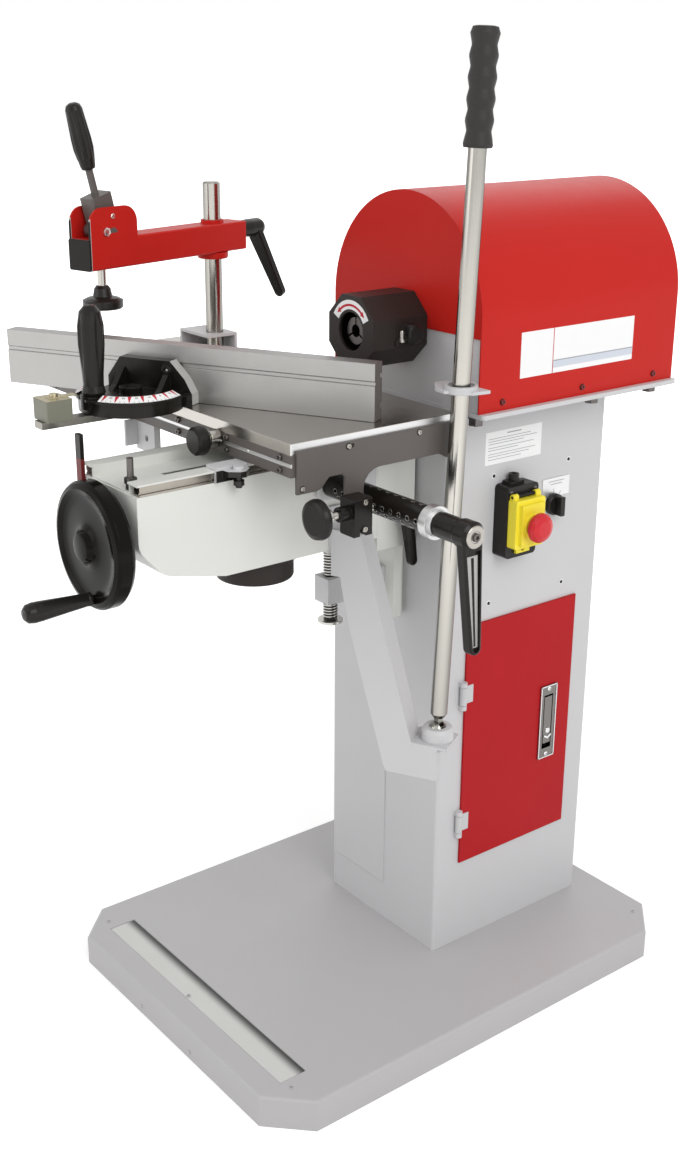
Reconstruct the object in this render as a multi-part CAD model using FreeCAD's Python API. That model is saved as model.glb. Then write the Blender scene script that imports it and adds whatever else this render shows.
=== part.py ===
import FreeCAD, Part
import math
import os

# Horizontal slot mortiser, free standing. Millimetres. +Z up, -Y is the side of the
# drill chuck and the handwheel, +X the side of the door, the switch and the lever.
# The origin is the middle of the base plinth's underside.

V = FreeCAD.Vector
X = V(1, 0, 0)
Y = V(0, 1, 0)
Z = V(0, 0, 1)

# clearances
seat_gap = 0.3          # between curved or painted faces that only rest on each other
running_gap = 0.05      # radial, shaft in bore
slide_gap = 0.15        # flat slide faces

# base plinth
base_x = 542.0
base_y = 714.0
base_h = 45.0
base_chamfer = 52.0
base_sheet = 3.0
name_slot_x = 430.0     # bare inset panel along the front edge
name_slot_y = 40.0
name_slot_inset = 36.0  # from the front edge to the middle of the slot
name_recess = 1.2
rim_flange = 50.0       # inward flange under the plinth
level_x = 470.0         # threaded holes for levelling feet
level_y = 620.0
level_hole_r = 5.0

# column
col_x = 236.0
col_front = 19.0
col_back = 310.0
col_sheet = 3.0
col_top = 842.0
step_cover_sheet = 1.5
step_cover_bottom = 105.0
step_cover_top = 530.0
step_cover_right = 6.0

# side door with hinge tabs and latch
door_y0 = 62.0
door_y1 = 270.0
door_z0 = 177.0
door_z1 = 541.0
door_sheet = 3.0
door_lap = 8.0          # overlap of the door on the frame round its opening
door_return = 12.0      # folded edge behind the door
hinge_pin_r = 3.0
hinge_z = (243.0, 441.0)
hinge_len = 26.0
strap_w = 13.0          # hinge leaf lying on the door
strap_t = 1.6
latch_y = 225.0
latch_z = 354.0
latch_w = 32.0
latch_h = 115.0
latch_t = 6.0

# panels and switches on the column's right face
panel_y0 = 92.0
panel_y1 = 250.0
panel_z0 = 556.0
panel_z1 = 753.0
panel_sheet = 2.0
switch_y = 132.0
switch_z = 683.0
switch_w = 56.0
switch_h = 99.0
switch_d = 25.0
cover_w = 53.0
cover_h = 67.0
cover_d = 21.0
cover_step = 6.0         # raised middle of the cover over its rim
cover_wall = 2.0
cover_top_z = 717.0
cover_pin_r = 2.0
cover_eye_r = 4.0
stop_r = 20.0
stop_len = 14.0
stop_travel = 4.0
gland_r = 9.0
gland_len = 14.0
selector_y = 215.0
selector_z = 685.0
selector_r = 15.0
selector_stem_r = 8.7

# head: plate, motor, spindle, chuck, guard, hood
head_plate_t = 6.0
head_right = 180.0
head_back = 380.0
spindle_x = 27.0
motor_centre_h = 90.0   # shaft height of the motor over its feet
motor_r = 78.0
motor_front = 96.0
motor_len = 200.0
fan_cowl_len = 44.0
front_plate_t = 6.0
front_plate_top = 1060.0
nose_r = 32.0
shaft_r = 14.0
chuck_r = 26.0
chuck_len = 52.0
bit_bore_r = 8.0
bit_bore_len = 40.0
guard_across = 89.0
guard_front = -68.0
guard_wall = 4.0
guard_mouth_r = 24.0
hood_r = 144.0
hood_centre_z = 962.0
hood_sheet = 2.0
hood_back = 378.0
hood_front_bottom = 940.0

# vertical way, nut bracket and lead screw
way_half = 42.5
way_neck_half = 34.0
way_t = 22.0
way_head_t = 13.0
way_bottom = 545.0
way_top = 834.0
screw_y = -78.0
screw_r = 10.0
screw_bottom = 549.0
nut_side = 30.0
nut_z0 = 575.0
nut_z1 = 611.0

# knee
gear_far = 27.0         # big radius of both bevel gears and their distance to the crossing
gear_near = 15.0
gear_hub = 12.0
trim = 0.4              # running gap of the pair
knee_half = 62.0
knee_front = -402.0
knee_top = 792.0
knee_bottom = 673.0
knee_sheet = 4.0
knee_nose_z = 727.0
knee_nose_r = 40.0
knee_belly_y = -284.0
knee_belly_z = 690.0
knee_join = -50.0       # sheet box to cast slide
slide_bottom = 655.0
slide_back = 14.0
gib_t = 5.0
boss_half = 18.0
boss_h = 24.0
spigot_y = -200.0
spigot_r = 50.0
spigot_wall = 3.0
spigot_bottom = 640.0
wheel_z = 725.0
wheel_shaft_r = 8.0
wheel_y = -430.0
wheel_r = 77.0
wheel_rim_w = 24.0
crank_r = 62.0
crank_len = 86.0
rail_w = 12.0
rail_h = 12.6
strip_t = 2.4
tray_half = 44.0
strip_half = 64.0
stop_post_h = 50.0      # over the knee's top
stop_screw_h = 39.0

# cross slide and table
table_x0 = -463.0
table_x1 = 157.0
table_y0 = -256.0
table_y1 = -6.0
table_top_z = 852.0
table_t = 14.0
mitre_slot_w = 19.4
mitre_slot_d = 9.0
bar_t = 10.0           # dark bars along both long edges
upper_bar_h = 10.0
strip_h = 4.0
lower_bar_h = 12.0
strip_w = 22.0
saddle_x = 92.0
saddle_front = -236.0
saddle_back = -26.0
saddle_t = 3.4
apron_t = 5.0
saddle_lift = 0.8       # saddle plate over the deck strips
hook_out = 68.0
end_plate_t = 4.0

# index tube, block and plunger
tube_y = -130.0
tube_z = 763.0
tube_r = 16.0
tube_bore_r = 11.0
tube_x1 = 268.0
block_y0 = -188.0
block_y1 = -162.0
block_z0 = 735.0
block_z1 = 781.0
block_x1 = 189.0
plunger_x = 175.0
plunger_r = 5.0

# control lever
foot_x = 177.4
foot_y = -38.3
foot_z = 441.0
cup_r = 21.0
ball_r = 12.0
ring_x = 180.0
ring_y = -20.0
ring_z = 888.0
ring_hole_r = 16.4
ring_wall = 4.0
ring_h = 9.0
ring_plate_t = 4.0
rod_r = 11.0
grip_r = 16.5
grip_len = 130.0
grip_top_z = 1295.0
arm_sheet = 4.0
arm_yaw = 28.0          # the arm's wide face, turned from the front
arm_x = 66.0
arm_y = -127.0

# mitre gauge and fence
mitre_x = -107.0
mitre_y = -307.0
mitre_bar_w = 19.0
mitre_bar_t = 8.8
mitre_bar_front = -434.0
mitre_bar_back = -180.0
mitre_r = 68.0
mitre_handle_y = -358.0
fence_yaw = 28.4
fence_off = 51.3        # from the gauge's centre to the fence's front face
fence_t = 22.0
fence_h = 70.0
fence_left = -217.0
fence_right = 304.0

# hold-down clamp on its post
post_x = -347.0
post_y = -26.0
post_r = 12.5
post_top = 1091.0
clamp_yaw = 14.0
clamp_z = 1014.0
clamp_side = 40.0
clamp_wall = 3.0
clamp_back = -50.0      # along the arm from the post
clamp_front = 251.0
cheek_back = 167.0
cheek_front = 252.0
cheek_top = 1074.0
cheek_r = 22.0
sleeve_r = 16.4
plunge_s = 217.0
plunge_r = 6.0
pad_r = 27.0
pad_z = 941.0
toggle_s = 224.0
toggle_z = 1043.0
toggle_eye_r = 8.8
toggle_off = 14.7       # the lever's stem lies behind its pivot
toggle_lean = 15.2
grip_from = 78.0        # along the stem from the pivot

os.makedirs("parts", exist_ok=True)


def box(x0, x1, y0, y1, z0, z1):
    return Part.makeBox(x1 - x0, y1 - y0, z1 - z0, V(x0, y0, z0))


def rod(radius, length, base, axis=Z):
    return Part.makeCylinder(radius, length, base, axis)


def prism(points, way):
    face = Part.Face(Part.makePolygon(points + [points[0]]))
    return face.extrude(way)


def plate_yz(points, x, thickness):
    return prism([V(x, y, z) for y, z in points], V(thickness, 0, 0))


def plate_xy(points, z, thickness):
    return prism([V(x, y, z) for x, y in points], V(0, 0, thickness))


def hexagon(radius, base, height):
    corners = [k * math.pi / 3 for k in range(6)]
    return prism([base.add(V(radius * math.cos(a), radius * math.sin(a), 0)) for a in corners],
                 V(0, 0, height))


def spin(points, base, axis_turn=None):
    # a turned piece: radius and height pairs round +Z, then turned and moved
    wire = Part.makePolygon([V(r, 0, z) for r, z in points + [points[0]]])
    solid = Part.Face(wire).revolve(V(0, 0, 0), Z, 360)
    if axis_turn:
        solid.rotate(V(0, 0, 0), axis_turn[0], axis_turn[1])
    solid.translate(base)
    return solid


def along_x(points, base):
    return spin(points, base, (Y, 90))


def along_front(points, base):
    # the piece's own +Z comes to point to -Y
    return spin(points, base, (X, 90))


def joined(shapes):
    first = shapes[0]
    return first.fuse(shapes[1:]).removeSplitter() if len(shapes) > 1 else first


def without(shape, *tools):
    return shape.cut(list(tools))


def soft(shape, radius, pick):
    edges = [e for e in shape.Edges if pick(e)]
    return shape.makeFillet(radius, edges)


def upright(edge):
    a, b = edge.Vertexes[0].Point, edge.Vertexes[-1].Point
    return abs(a.x - b.x) < 1e-6 and abs(a.y - b.y) < 1e-6 and abs(a.z - b.z) > 1e-6


def lengthwise(axis):
    def pick(edge):
        if len(edge.Vertexes) < 2:
            return False
        d = edge.Vertexes[-1].Point.sub(edge.Vertexes[0].Point)
        return d.Length > 1e-6 and abs(abs(d.dot(axis)) - d.Length) < 1e-6
    return pick


def save(name, shape):
    solids = shape.Solids
    if len(solids) != 1 or not shape.isValid():
        print("CHECK", name, len(solids), shape.isValid())
    piece = solids[0] if len(solids) == 1 else shape
    piece.exportStep("parts/" + name + ".step")
    return piece


# base plinth
def plinth_outline(inset):
    hx = base_x / 2 - inset
    hy = base_y / 2 - inset
    c = base_chamfer - inset * (2 - math.sqrt(2))
    return [(-hx + c, -hy), (hx - c, -hy), (hx, -hy + c), (hx, hy - c),
            (hx - c, hy), (-hx + c, hy), (-hx, hy - c), (-hx, -hy + c)]


slot_y = -base_y / 2 + name_slot_inset + name_slot_y / 2
slot = box(-name_slot_x / 2, name_slot_x / 2, slot_y - name_slot_y / 2, slot_y + name_slot_y / 2,
           base_h - name_recess, base_h + 1)
plinth = plate_xy(plinth_outline(0), 0, base_h)
plinth = soft(plinth, 4.0, lambda e: all(abs(v.Point.z - base_h) < 1e-6 for v in e.Vertexes))
hollow = plate_xy(plinth_outline(base_sheet), base_sheet, base_h - 2 * base_sheet)
floor_hole = plate_xy(plinth_outline(rim_flange), -1, base_sheet + 2)
column_hole = box(-col_x / 2 + 30, col_x / 2 - 30, col_front + 40, col_back - 40,
                  base_h - base_sheet - 1, base_h + 1)
feet = [rod(level_hole_r, 8, V(sx * level_x / 2, sy * level_y / 2, -2)) for sx in (-1, 1) for sy in (-1, 1)]
save("base_plinth", without(plinth, hollow, floor_hole, slot, column_hole, *feet))

# column
half = col_x / 2
outer = box(-half, half, col_front, col_back, base_h, col_top)
inner = box(-half + col_sheet, half - col_sheet, col_front + col_sheet, col_back - col_sheet,
            base_h - 1, col_top + 1)
outer = soft(outer, 5.0, upright)
door_hole = box(half - col_sheet - 1, half + 1, door_y0 + door_lap, door_y1 - door_lap,
                door_z0 + door_lap, door_z1 - door_lap)
cable_hole = rod(9.0, 10, V(half - 6, switch_y, switch_z), X)
selector_hole = rod(selector_stem_r + 0.3, 10, V(half - 6, selector_y, selector_z), X)
shelf = box(-half + col_sheet, half - col_sheet, col_front + col_sheet, col_back - col_sheet,
            door_z0 - 4, door_z0 - 1)
step_cover = box(-half + 5, step_cover_right, col_front - step_cover_sheet, col_front,
                 step_cover_bottom, step_cover_top)
column = [without(outer, inner, door_hole, cable_hole, selector_hole), shelf, step_cover]
panel_x = half - col_sheet - panel_sheet
panel = box(panel_x, panel_x + panel_sheet, panel_y0, panel_y1, panel_z0, panel_z1)
screws = [rod(2.2, 6, V(panel_x - 2, y, z), X) for y in (panel_y0 + 9, panel_y1 - 9)
          for z in (panel_z0 + 9, panel_z1 - 9)]
save("control_panel", without(panel, cable_hole, selector_hole, *screws))

# door
door_x = half + seat_gap
eye_r = hinge_pin_r + 2
hinge_y = door_y0 - eye_r - 0.6
hinge_x = door_x + eye_r
door = box(door_x, door_x + door_sheet, door_y0, door_y1, door_z0, door_z1)
rim = [box(door_x - door_return, door_x, door_y0 + door_lap + 14, door_y1 - door_lap - 3,
           door_z0 + door_lap + 3, door_z1 - door_lap - 3)]
rim_in = box(door_x - door_return - 1, door_x, door_y0 + door_lap + 16, door_y1 - door_lap - 5,
             door_z0 + door_lap + 5, door_z1 - door_lap - 5)
door = joined([door, without(rim[0], rim_in)])
door = without(door, box(door_x - 20, door_x + 4, latch_y - 11, latch_y + 11, latch_z - 45, latch_z + 45))
leaves = []
for z in hinge_z:
    bottom = z - hinge_len / 2
    leaf = box(door_x, door_x + door_sheet, hinge_y, door_y0 + 0.1, bottom, bottom + hinge_len)
    eye = rod(eye_r, hinge_len, V(hinge_x, hinge_y, bottom))
    strap = box(door_x + door_sheet, door_x + door_sheet + strap_t, hinge_y, door_y0 + strap_w, bottom,
                bottom + hinge_len)
    leaves += [leaf, eye, strap]
door = joined([door] + leaves)
for z in hinge_z:
    door = without(door, rod(hinge_pin_r + running_gap, hinge_len + 2,
                             V(hinge_x, hinge_y, z - hinge_len / 2 - 1)))
save("side_door", door)
for z in hinge_z:
    pin = rod(hinge_pin_r, hinge_len + 14, V(hinge_x, hinge_y, z - hinge_len / 2 - 7))
    lugs = [box(half, hinge_x, hinge_y - 4.5, hinge_y + 4.5, z + s * (hinge_len / 2 + 4) - 3.4,
                z + s * (hinge_len / 2 + 4) + 3.4) for s in (-1, 1)]
    caps = [rod(eye_r, 6.8, V(hinge_x, hinge_y, z + s * (hinge_len / 2 + 4) - 3.4)) for s in (-1, 1)]
    column += [pin] + lugs + caps
save("column_shell", joined(column))
latch_x = door_x + door_sheet
plate = box(latch_x, latch_x + 2, latch_y - latch_w / 2, latch_y + latch_w / 2,
            latch_z - latch_h / 2, latch_z + latch_h / 2)
tray = box(latch_x - 12, latch_x, latch_y - 10.5, latch_y + 10.5, latch_z - 44, latch_z + 44)
tray_in = box(latch_x - 10.5, latch_x + 3, latch_y - 9, latch_y + 9, latch_z - 42.5, latch_z + 42.5)
latch_pivot_z = latch_z - 28
catch = box(latch_x - 15.5, latch_x - 12, latch_y - 4, latch_y + 30, latch_z - 8, latch_z + 8)
save("door_latch", without(joined([plate, tray, catch]), tray_in,
                           rod(2.0 + running_gap, 20.8, V(latch_x - 4, latch_y - 10.4, latch_pivot_z), Y)))
pull = joined([box(latch_x - 6.5, latch_x + 2.6, latch_y - 7.5, latch_y + 7.5, latch_pivot_z - 6, latch_z
                   + 40),
               rod(2.0, 20.6, V(latch_x - 4, latch_y - 10.3, latch_pivot_z), Y)])
save("latch_pull", soft(pull, 1.5, lambda e: lengthwise(Z)(e) and e.BoundBox.XMin > latch_x + 2))

# switch box, cover, buttons, selector
box_x = half
box_front = box_x + switch_d
sw_y0 = switch_y - switch_w / 2
sw_z0 = switch_z - switch_h / 2
case = box(box_x, box_front, sw_y0, sw_y0 + switch_w, sw_z0, sw_z0 + switch_h)
case = soft(case, 6.0, lengthwise(X))
cover_pin_x = box_front + cover_eye_r + seat_gap
cover_pin_z = cover_top_z + cover_eye_r - 1
cover_y0 = sw_y0 + 1.5
cover_y1 = cover_y0 + cover_w
cover_z0 = cover_top_z - cover_h
lug = [box(box_front - 1, cover_pin_x, cover_y0 + 12, cover_y1 - 12, cover_pin_z - 2.7, cover_pin_z + 2.7),
       rod(2.7, cover_w - 24, V(cover_pin_x, cover_y0 + 12, cover_pin_z), Y)]
pin = rod(cover_pin_r, cover_w - 4, V(cover_pin_x, cover_y0 + 2, cover_pin_z), Y)
gland = joined([box(-8, 8, -gland_r * 1.4, gland_r * 1.4, -1, 4), rod(gland_r - 2, gland_len, V(0, 0, -1))])
gland = without(soft(gland, 1.0, upright), rod(4, gland_len, V(0, 0, 4)))
gland.translate(V(box_x + 10, switch_y - 4, sw_z0 + switch_h))
save("switch_box", joined([case, pin, gland] + lug))
cover_x = box_front + seat_gap
rim_x = cover_x + cover_d - cover_step


def cover_block(x0, x1, inset):
    block = box(x0, x1, cover_y0 + inset, cover_y1 - inset, cover_z0 + inset, cover_top_z - inset)
    return soft(block, max(4.0 - inset / 2, 1.0), lengthwise(X))


cover = joined([cover_block(cover_x, rim_x, 0), cover_block(rim_x - 1, cover_x + cover_d, 6)])
eyes = [rod(cover_eye_r, 9, V(cover_pin_x, y, cover_pin_z), Y) for y in (cover_y0 + 2, cover_y1 - 11)]
webs = [box(cover_x, cover_pin_x + cover_eye_r, y, y + 9, cover_top_z - 1, cover_pin_z)
        for y in (cover_y0 + 2, cover_y1 - 11)]
lock_tab = box(cover_x, cover_x + 4, cover_y0 + 14, cover_y1 - 14, cover_z0 - 10, cover_z0 + 1)
padlock_hole = rod(3.5, 6, V(cover_x - 1, cover_y0 + cover_w / 2, cover_z0 - 4.5), X)
stop_y = cover_y0 + cover_w / 2
stop_z = cover_z0 + cover_h / 2 - 2
collar = rod(stop_r - 4, 3, V(cover_x + cover_d - 0.01, stop_y, stop_z), X)
stem_r = 7.0
cover = joined([cover, lock_tab, collar] + eyes + webs)
cover = without(cover, cover_block(cover_x - 1, rim_x - cover_wall, cover_wall),
                cover_block(rim_x - cover_wall - 1, cover_x + cover_d - cover_wall, 6 + cover_wall),
                padlock_hole,
                rod(cover_pin_r + running_gap, cover_w + 2, V(cover_pin_x, cover_y0 - 1, cover_pin_z), Y),
                box(cover_x - 1, cover_pin_x + 4, cover_y0 + 11.5, cover_y1 - 11.5, cover_top_z - 0.2,
                    cover_pin_z + 5),
                rod(stem_r + running_gap, 30, V(cover_x, stop_y, stop_z), X))
save("switch_cover", cover)
stem_x = cover_x + cover_d - 3
cap_x = cover_x + cover_d + 3 + stop_travel + 1
save("stop_button", along_x([(0, stem_x - cap_x), (stem_r, stem_x - cap_x), (stem_r, 0), (stop_r - 2, 0),
                             (stop_r, 2), (stop_r, 7), (stop_r - 3, stop_len - 3),
                             (stop_r - 9, stop_len - 0.5),
                             (0, stop_len)], V(cap_x, stop_y, stop_z)))
sel = along_x([(0, -12), (selector_stem_r, -12), (selector_stem_r, 0.3), (selector_r, 0.3), (selector_r, 6),
               (selector_r - 2, 8), (0, 8)], V(box_x, selector_y, selector_z))
wing = box(box_x + 7, box_x + 20, selector_y - 4, selector_y + 4, selector_z - 13.5, selector_z + 13.5)
save("selector_knob", joined([sel, soft(wing, 1.5, lengthwise(X))]))

# head
head_z = col_top + head_plate_t
axis_z = head_z + motor_centre_h + 1
hood_x0 = spindle_x - hood_r
hood_x1 = spindle_x + hood_r
head = box(-half, head_right, col_front, head_back, col_top, head_z)
head = soft(head, 6.0, upright)
save("head_plate", head)


def half_round(radius, y0, length, bottom):
    arch = rod(radius, length, V(spindle_x, y0, hood_centre_z), Y)
    lower = box(spindle_x - radius, spindle_x + radius, y0, y0 + length, bottom, hood_centre_z)
    above = box(spindle_x - radius, spindle_x + radius, y0, y0 + length, hood_centre_z, hood_centre_z
                + radius)
    return joined([arch.common(above), lower])


hood = without(half_round(hood_r, col_front, hood_back - col_front, head_z),
               half_round(hood_r - hood_sheet, col_front + hood_sheet,
                          hood_back - col_front - 2 * hood_sheet, head_z - 1))
front_cut = box(hood_x0 + hood_sheet, hood_x1 - hood_sheet, col_front - 1, col_front + hood_sheet + 1,
                head_z - 1, hood_front_bottom)
nose_cut = rod(nose_r + 2, 8, V(spindle_x, col_front - 2, axis_z), Y)
vents = [box(spindle_x - 60, spindle_x + 60, hood_back - 4, hood_back + 1, z, z + 5)
         for z in range(900, 1020, 15)]
save("hood", without(hood, front_cut, nose_cut, *vents))
plate_y = col_front + hood_sheet
front = half_round(hood_r - hood_sheet - 1, plate_y, front_plate_t, head_z)
front = front.common(box(hood_x0, hood_x1, plate_y, plate_y + front_plate_t, head_z, front_plate_top))
nose = spin([(shaft_r + running_gap, -16), (nose_r - 4, -16), (nose_r, -12), (nose_r, front_plate_t),
             (nose_r + 14, front_plate_t), (nose_r + 14, front_plate_t + 8), (nose_r, front_plate_t + 8),
             (nose_r - 4, 36), (shaft_r + running_gap, 36)], V(0, 0, 0), (X, -90))
nose.translate(V(spindle_x, plate_y, axis_z))
front = joined([front, nose])
save("head_front_plate", without(front, rod(shaft_r + running_gap, 80, V(spindle_x, plate_y - 20, axis_z),
                                            Y)))
fins = []
for k in range(28):
    a = 2 * math.pi * k / 28
    fin = box(motor_r - 6, motor_r, -1.6, 1.6, 12, motor_len - 12)
    fin.rotate(V(0, 0, 0), Z, math.degrees(a))
    fins.append(fin)
barrel = spin([(0, 0), (motor_r - 12, 0), (motor_r - 4, 6), (motor_r - 4, motor_len), (0, motor_len)],
              V(0, 0, 0))
motor = joined([barrel] + fins)
motor.rotate(V(0, 0, 0), X, -90)
motor.translate(V(spindle_x, motor_front, axis_z))
cowl = rod(motor_r + 2, fan_cowl_len, V(spindle_x, motor_front + motor_len, axis_z), Y)
cowl = soft(cowl, 8.0, lambda e: e.BoundBox.YMin > motor_front + motor_len + fan_cowl_len - 1)
feet = [box(spindle_x + sx * 55 - 18, spindle_x + sx * 55 + 18, motor_front + y, motor_front + y + 34,
            head_z, axis_z - 40) for sx in (-1, 1) for y in (20, 130)]
terminal = box(spindle_x + 60, spindle_x + 104, motor_front + 50, motor_front + 130, axis_z - 38, axis_z + 38)
motor = joined([motor, cowl, terminal] + feet)
save("motor", without(motor, rod(shaft_r + running_gap, 60, V(spindle_x, motor_front - 1, axis_z), Y)))

spindle_end = motor_front + 50
chuck_back = -8.0
shaft = rod(shaft_r, spindle_end - chuck_back, V(spindle_x, chuck_back, axis_z), Y)
chuck = along_front([(0, -8), (16, -8), (chuck_r, -2), (chuck_r, chuck_len - 14),
                     (chuck_r - 5, chuck_len - 6),
                     (chuck_r - 9, chuck_len), (0, chuck_len)], V(spindle_x, chuck_back, axis_z))
chuck = joined([chuck, shaft])
chuck = without(chuck, rod(bit_bore_r, bit_bore_len + 1, V(spindle_x, chuck_back - chuck_len - 1, axis_z), Y))
for a in (0, 120, 240):
    slit = box(-1.2, 1.2, 0, chuck_r + 2, chuck_len - 13, chuck_len + 1)
    slit.rotate(V(0, 0, 0), Z, a)
    slit.rotate(V(0, 0, 0), X, 90)
    slit.translate(V(spindle_x, chuck_back, axis_z))
    chuck = without(chuck, slit)
save("drill_chuck", chuck)


def octagon(across, y0, length):
    r = across / 2 / math.cos(math.pi / 8)
    pts = [V(spindle_x + r * math.cos(a), y0, axis_z + r * math.sin(a))
           for a in [math.pi / 8 + k * math.pi / 4 for k in range(8)]]
    return prism(pts, V(0, length, 0))


guard = octagon(guard_across, guard_front, col_front - guard_front)
guard = without(guard, octagon(guard_across - 2 * guard_wall, guard_front + guard_wall,
                               col_front - guard_front),
                rod(guard_mouth_r, 20, V(spindle_x, guard_front - 5, axis_z), Y))
knob_y = -14.0
guard_side = spindle_x + guard_across / 2
guard = joined([guard, rod(11, 5, V(guard_side - 0.01, knob_y, axis_z), X)])
save("chuck_guard", without(guard, rod(4 + running_gap, 20, V(guard_side - 8, knob_y, axis_z), X)))
save("guard_knob", along_x([(0, -8), (4, -8), (4, 5.3), (8, 5.3), (12, 8), (12, 17), (10, 19), (0, 19)],
                           V(guard_side, knob_y, axis_z)))

# vertical way, nut and screw
way_front = col_front - way_t
neck_front = way_front + way_head_t
way = joined([box(-way_half, way_half, way_front, neck_front, way_bottom, way_top),
              box(-way_neck_half, way_neck_half, neck_front, col_front, way_bottom, way_top)])
save("vertical_way", soft(way, 1.5, lambda e: upright(e) and e.BoundBox.YMax < way_front + 1))
bracket = joined([
    box(-nut_side / 2, nut_side / 2, screw_y - nut_side / 2, screw_y + nut_side / 2, nut_z0, nut_z1),
    box(-11, 11, screw_y, way_front, nut_z0 + 5, nut_z1 - 5),
    box(-24, 24, way_front - 7, way_front, nut_z0 - 4, nut_z1 + 4)])
save("nut_bracket", without(bracket, rod(screw_r + running_gap, 80, V(0, screw_y, nut_z0 - 10))))

# knee
def knee_side(inset, back):
    pts = [(knee_front + inset, knee_top + (1 if inset else 0)), (knee_front + inset, knee_nose_z),
           (-370 + inset * 0.8, 692 + inset), (knee_belly_y, knee_bottom + inset),
           (back, knee_bottom + inset), (back, knee_top + (1 if inset else 0))]
    solid = plate_yz(pts, -knee_half + inset, 2 * (knee_half - inset))
    return soft(solid, 26.0 - inset, lambda e: lengthwise(X)(e) and e.BoundBox.YMax < -365 + inset
                and e.BoundBox.ZMax < knee_nose_z + 2)


shell = without(knee_side(0, knee_join), knee_side(knee_sheet, knee_join + 1))
lips = [box(s * knee_half - 11 - s * 11, s * knee_half + 11 - s * 11, knee_front + knee_sheet, knee_join,
            knee_top - knee_sheet, knee_top) for s in (-1, 1)]
web = box(-knee_half + knee_sheet, knee_half - knee_sheet, -132, -124, knee_bottom + knee_sheet - 1,
          knee_top - knee_sheet)
boss = box(-boss_half, boss_half, screw_y - boss_half, knee_join, knee_bottom - boss_h, knee_bottom
           + knee_sheet)
pinion_front = screw_y - gear_far - gear_hub
shaft_boss = rod(18, pinion_front - seat_gap + 139, V(0, -139, wheel_z), Y)
shell = joined([shell, web, boss, shaft_boss] + lips)
bores = [rod(wheel_shaft_r + running_gap, 330, V(0, knee_front - 12, wheel_z), Y),
         rod(screw_r + running_gap, 60, V(0, screw_y, knee_bottom - boss_h - 5)),
         rod(spigot_r - spigot_wall, 20, V(0, spigot_y, knee_bottom - 5))]
slide = box(-knee_half, knee_half, knee_join, slide_back, slide_bottom, knee_top)
slide = soft(slide, 2.0, lambda e: upright(e) and e.BoundBox.YMin > slide_back - 1)
tee = [box(-way_half - slide_gap, way_half + slide_gap, way_front - slide_gap, neck_front + slide_gap,
           slide_bottom - 1, knee_top + 1),
       box(-way_neck_half - slide_gap, way_neck_half + slide_gap, neck_front, slide_back + 1,
           slide_bottom - 1, knee_top + 1)]
room = box(-knee_half + 10, knee_half - 10, knee_join + 8, way_front - 12, slide_bottom + 30, knee_top + 1)
lock_z = 700.0
lock_y = -14.0
lock_bore = rod(5 + running_gap, 14, V(knee_half - 10, lock_y, lock_z), X)
save("knee_slide", without(slide, room, lock_bore, *tee))
for name, s in (("knee_rail_left", -1), ("knee_rail_right", 1)):
    x = s * (knee_half - rail_w / 2)
    rail = box(x - rail_w / 2, x + rail_w / 2, knee_front + 4, slide_back - 24, knee_top, knee_top + rail_h)
    groove_x = s * (knee_half + 1)
    groove = box(groove_x - 3, groove_x + 3, knee_front, slide_back, knee_top + 2.6, knee_top + 5)
    save(name, without(rail, groove))
deck_y = (knee_front, slide_back - 22)
strip_z = knee_top + rail_h
deck_top = strip_z + strip_t
deck = [box(-tray_half, tray_half, knee_front + 2, knee_join, knee_top, knee_top + 2),
        box(-tray_half, -tray_half + 2, deck_y[0] + 2, deck_y[1], knee_top, strip_z + strip_t),
        box(tray_half - 2, tray_half, deck_y[0] + 2, deck_y[1], knee_top, strip_z + strip_t)]
for s in (-1, 1):
    x0, x1 = sorted((s * (tray_half - 2), s * strip_half))
    deck.append(box(x0, x1, deck_y[0], deck_y[1], strip_z, strip_z + strip_t))
deck = joined(deck)
deck = without(deck, box(-7, 7, -330, -150, knee_top - 1, knee_top + 3))
flange = spin([(0, 0), (20, 0), (20, 6), (14, 9), (0, 9)], V(0, 0, 0), (X, 90))
flange.translate(V(0, knee_front, wheel_z))
save("knee_shell", without(joined([shell, deck, flange]), *bores))
spigot = spin([(spigot_r - spigot_wall, 0), (spigot_r - 1, 0), (spigot_r, 2),
               (spigot_r, knee_bottom - spigot_bottom - 4), (spigot_r + 9, knee_bottom - spigot_bottom - 4),
               (spigot_r + 9, knee_bottom - spigot_bottom), (spigot_r - spigot_wall,
                                                             knee_bottom - spigot_bottom)],
              V(0, spigot_y, spigot_bottom))
save("dust_spigot", spigot)
post = box(-knee_half - 7, -knee_half + 5, knee_front - 5, knee_front, knee_top - 40, knee_top + stop_post_h)
save("stop_post", soft(post, 2.0, lambda e: lengthwise(Y)(e) and e.BoundBox.ZMin > knee_top
                       + stop_post_h - 2))

# stop screw with its nut on a sleeve, at the front of the tray
stud_x = 31.0
stud_y = knee_front + 11
stud_top = knee_top + stop_screw_h
nut_z = deck_top - 6
stud_nut = hexagon(7.5, V(stud_x, stud_y, nut_z), 7)
sleeve = rod(6, nut_z - knee_top - 2, V(stud_x, stud_y, knee_top + 2))
save("stop_screw", joined([sleeve, stud_nut, rod(4, stud_top - nut_z, V(stud_x, stud_y, nut_z))]))

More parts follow.
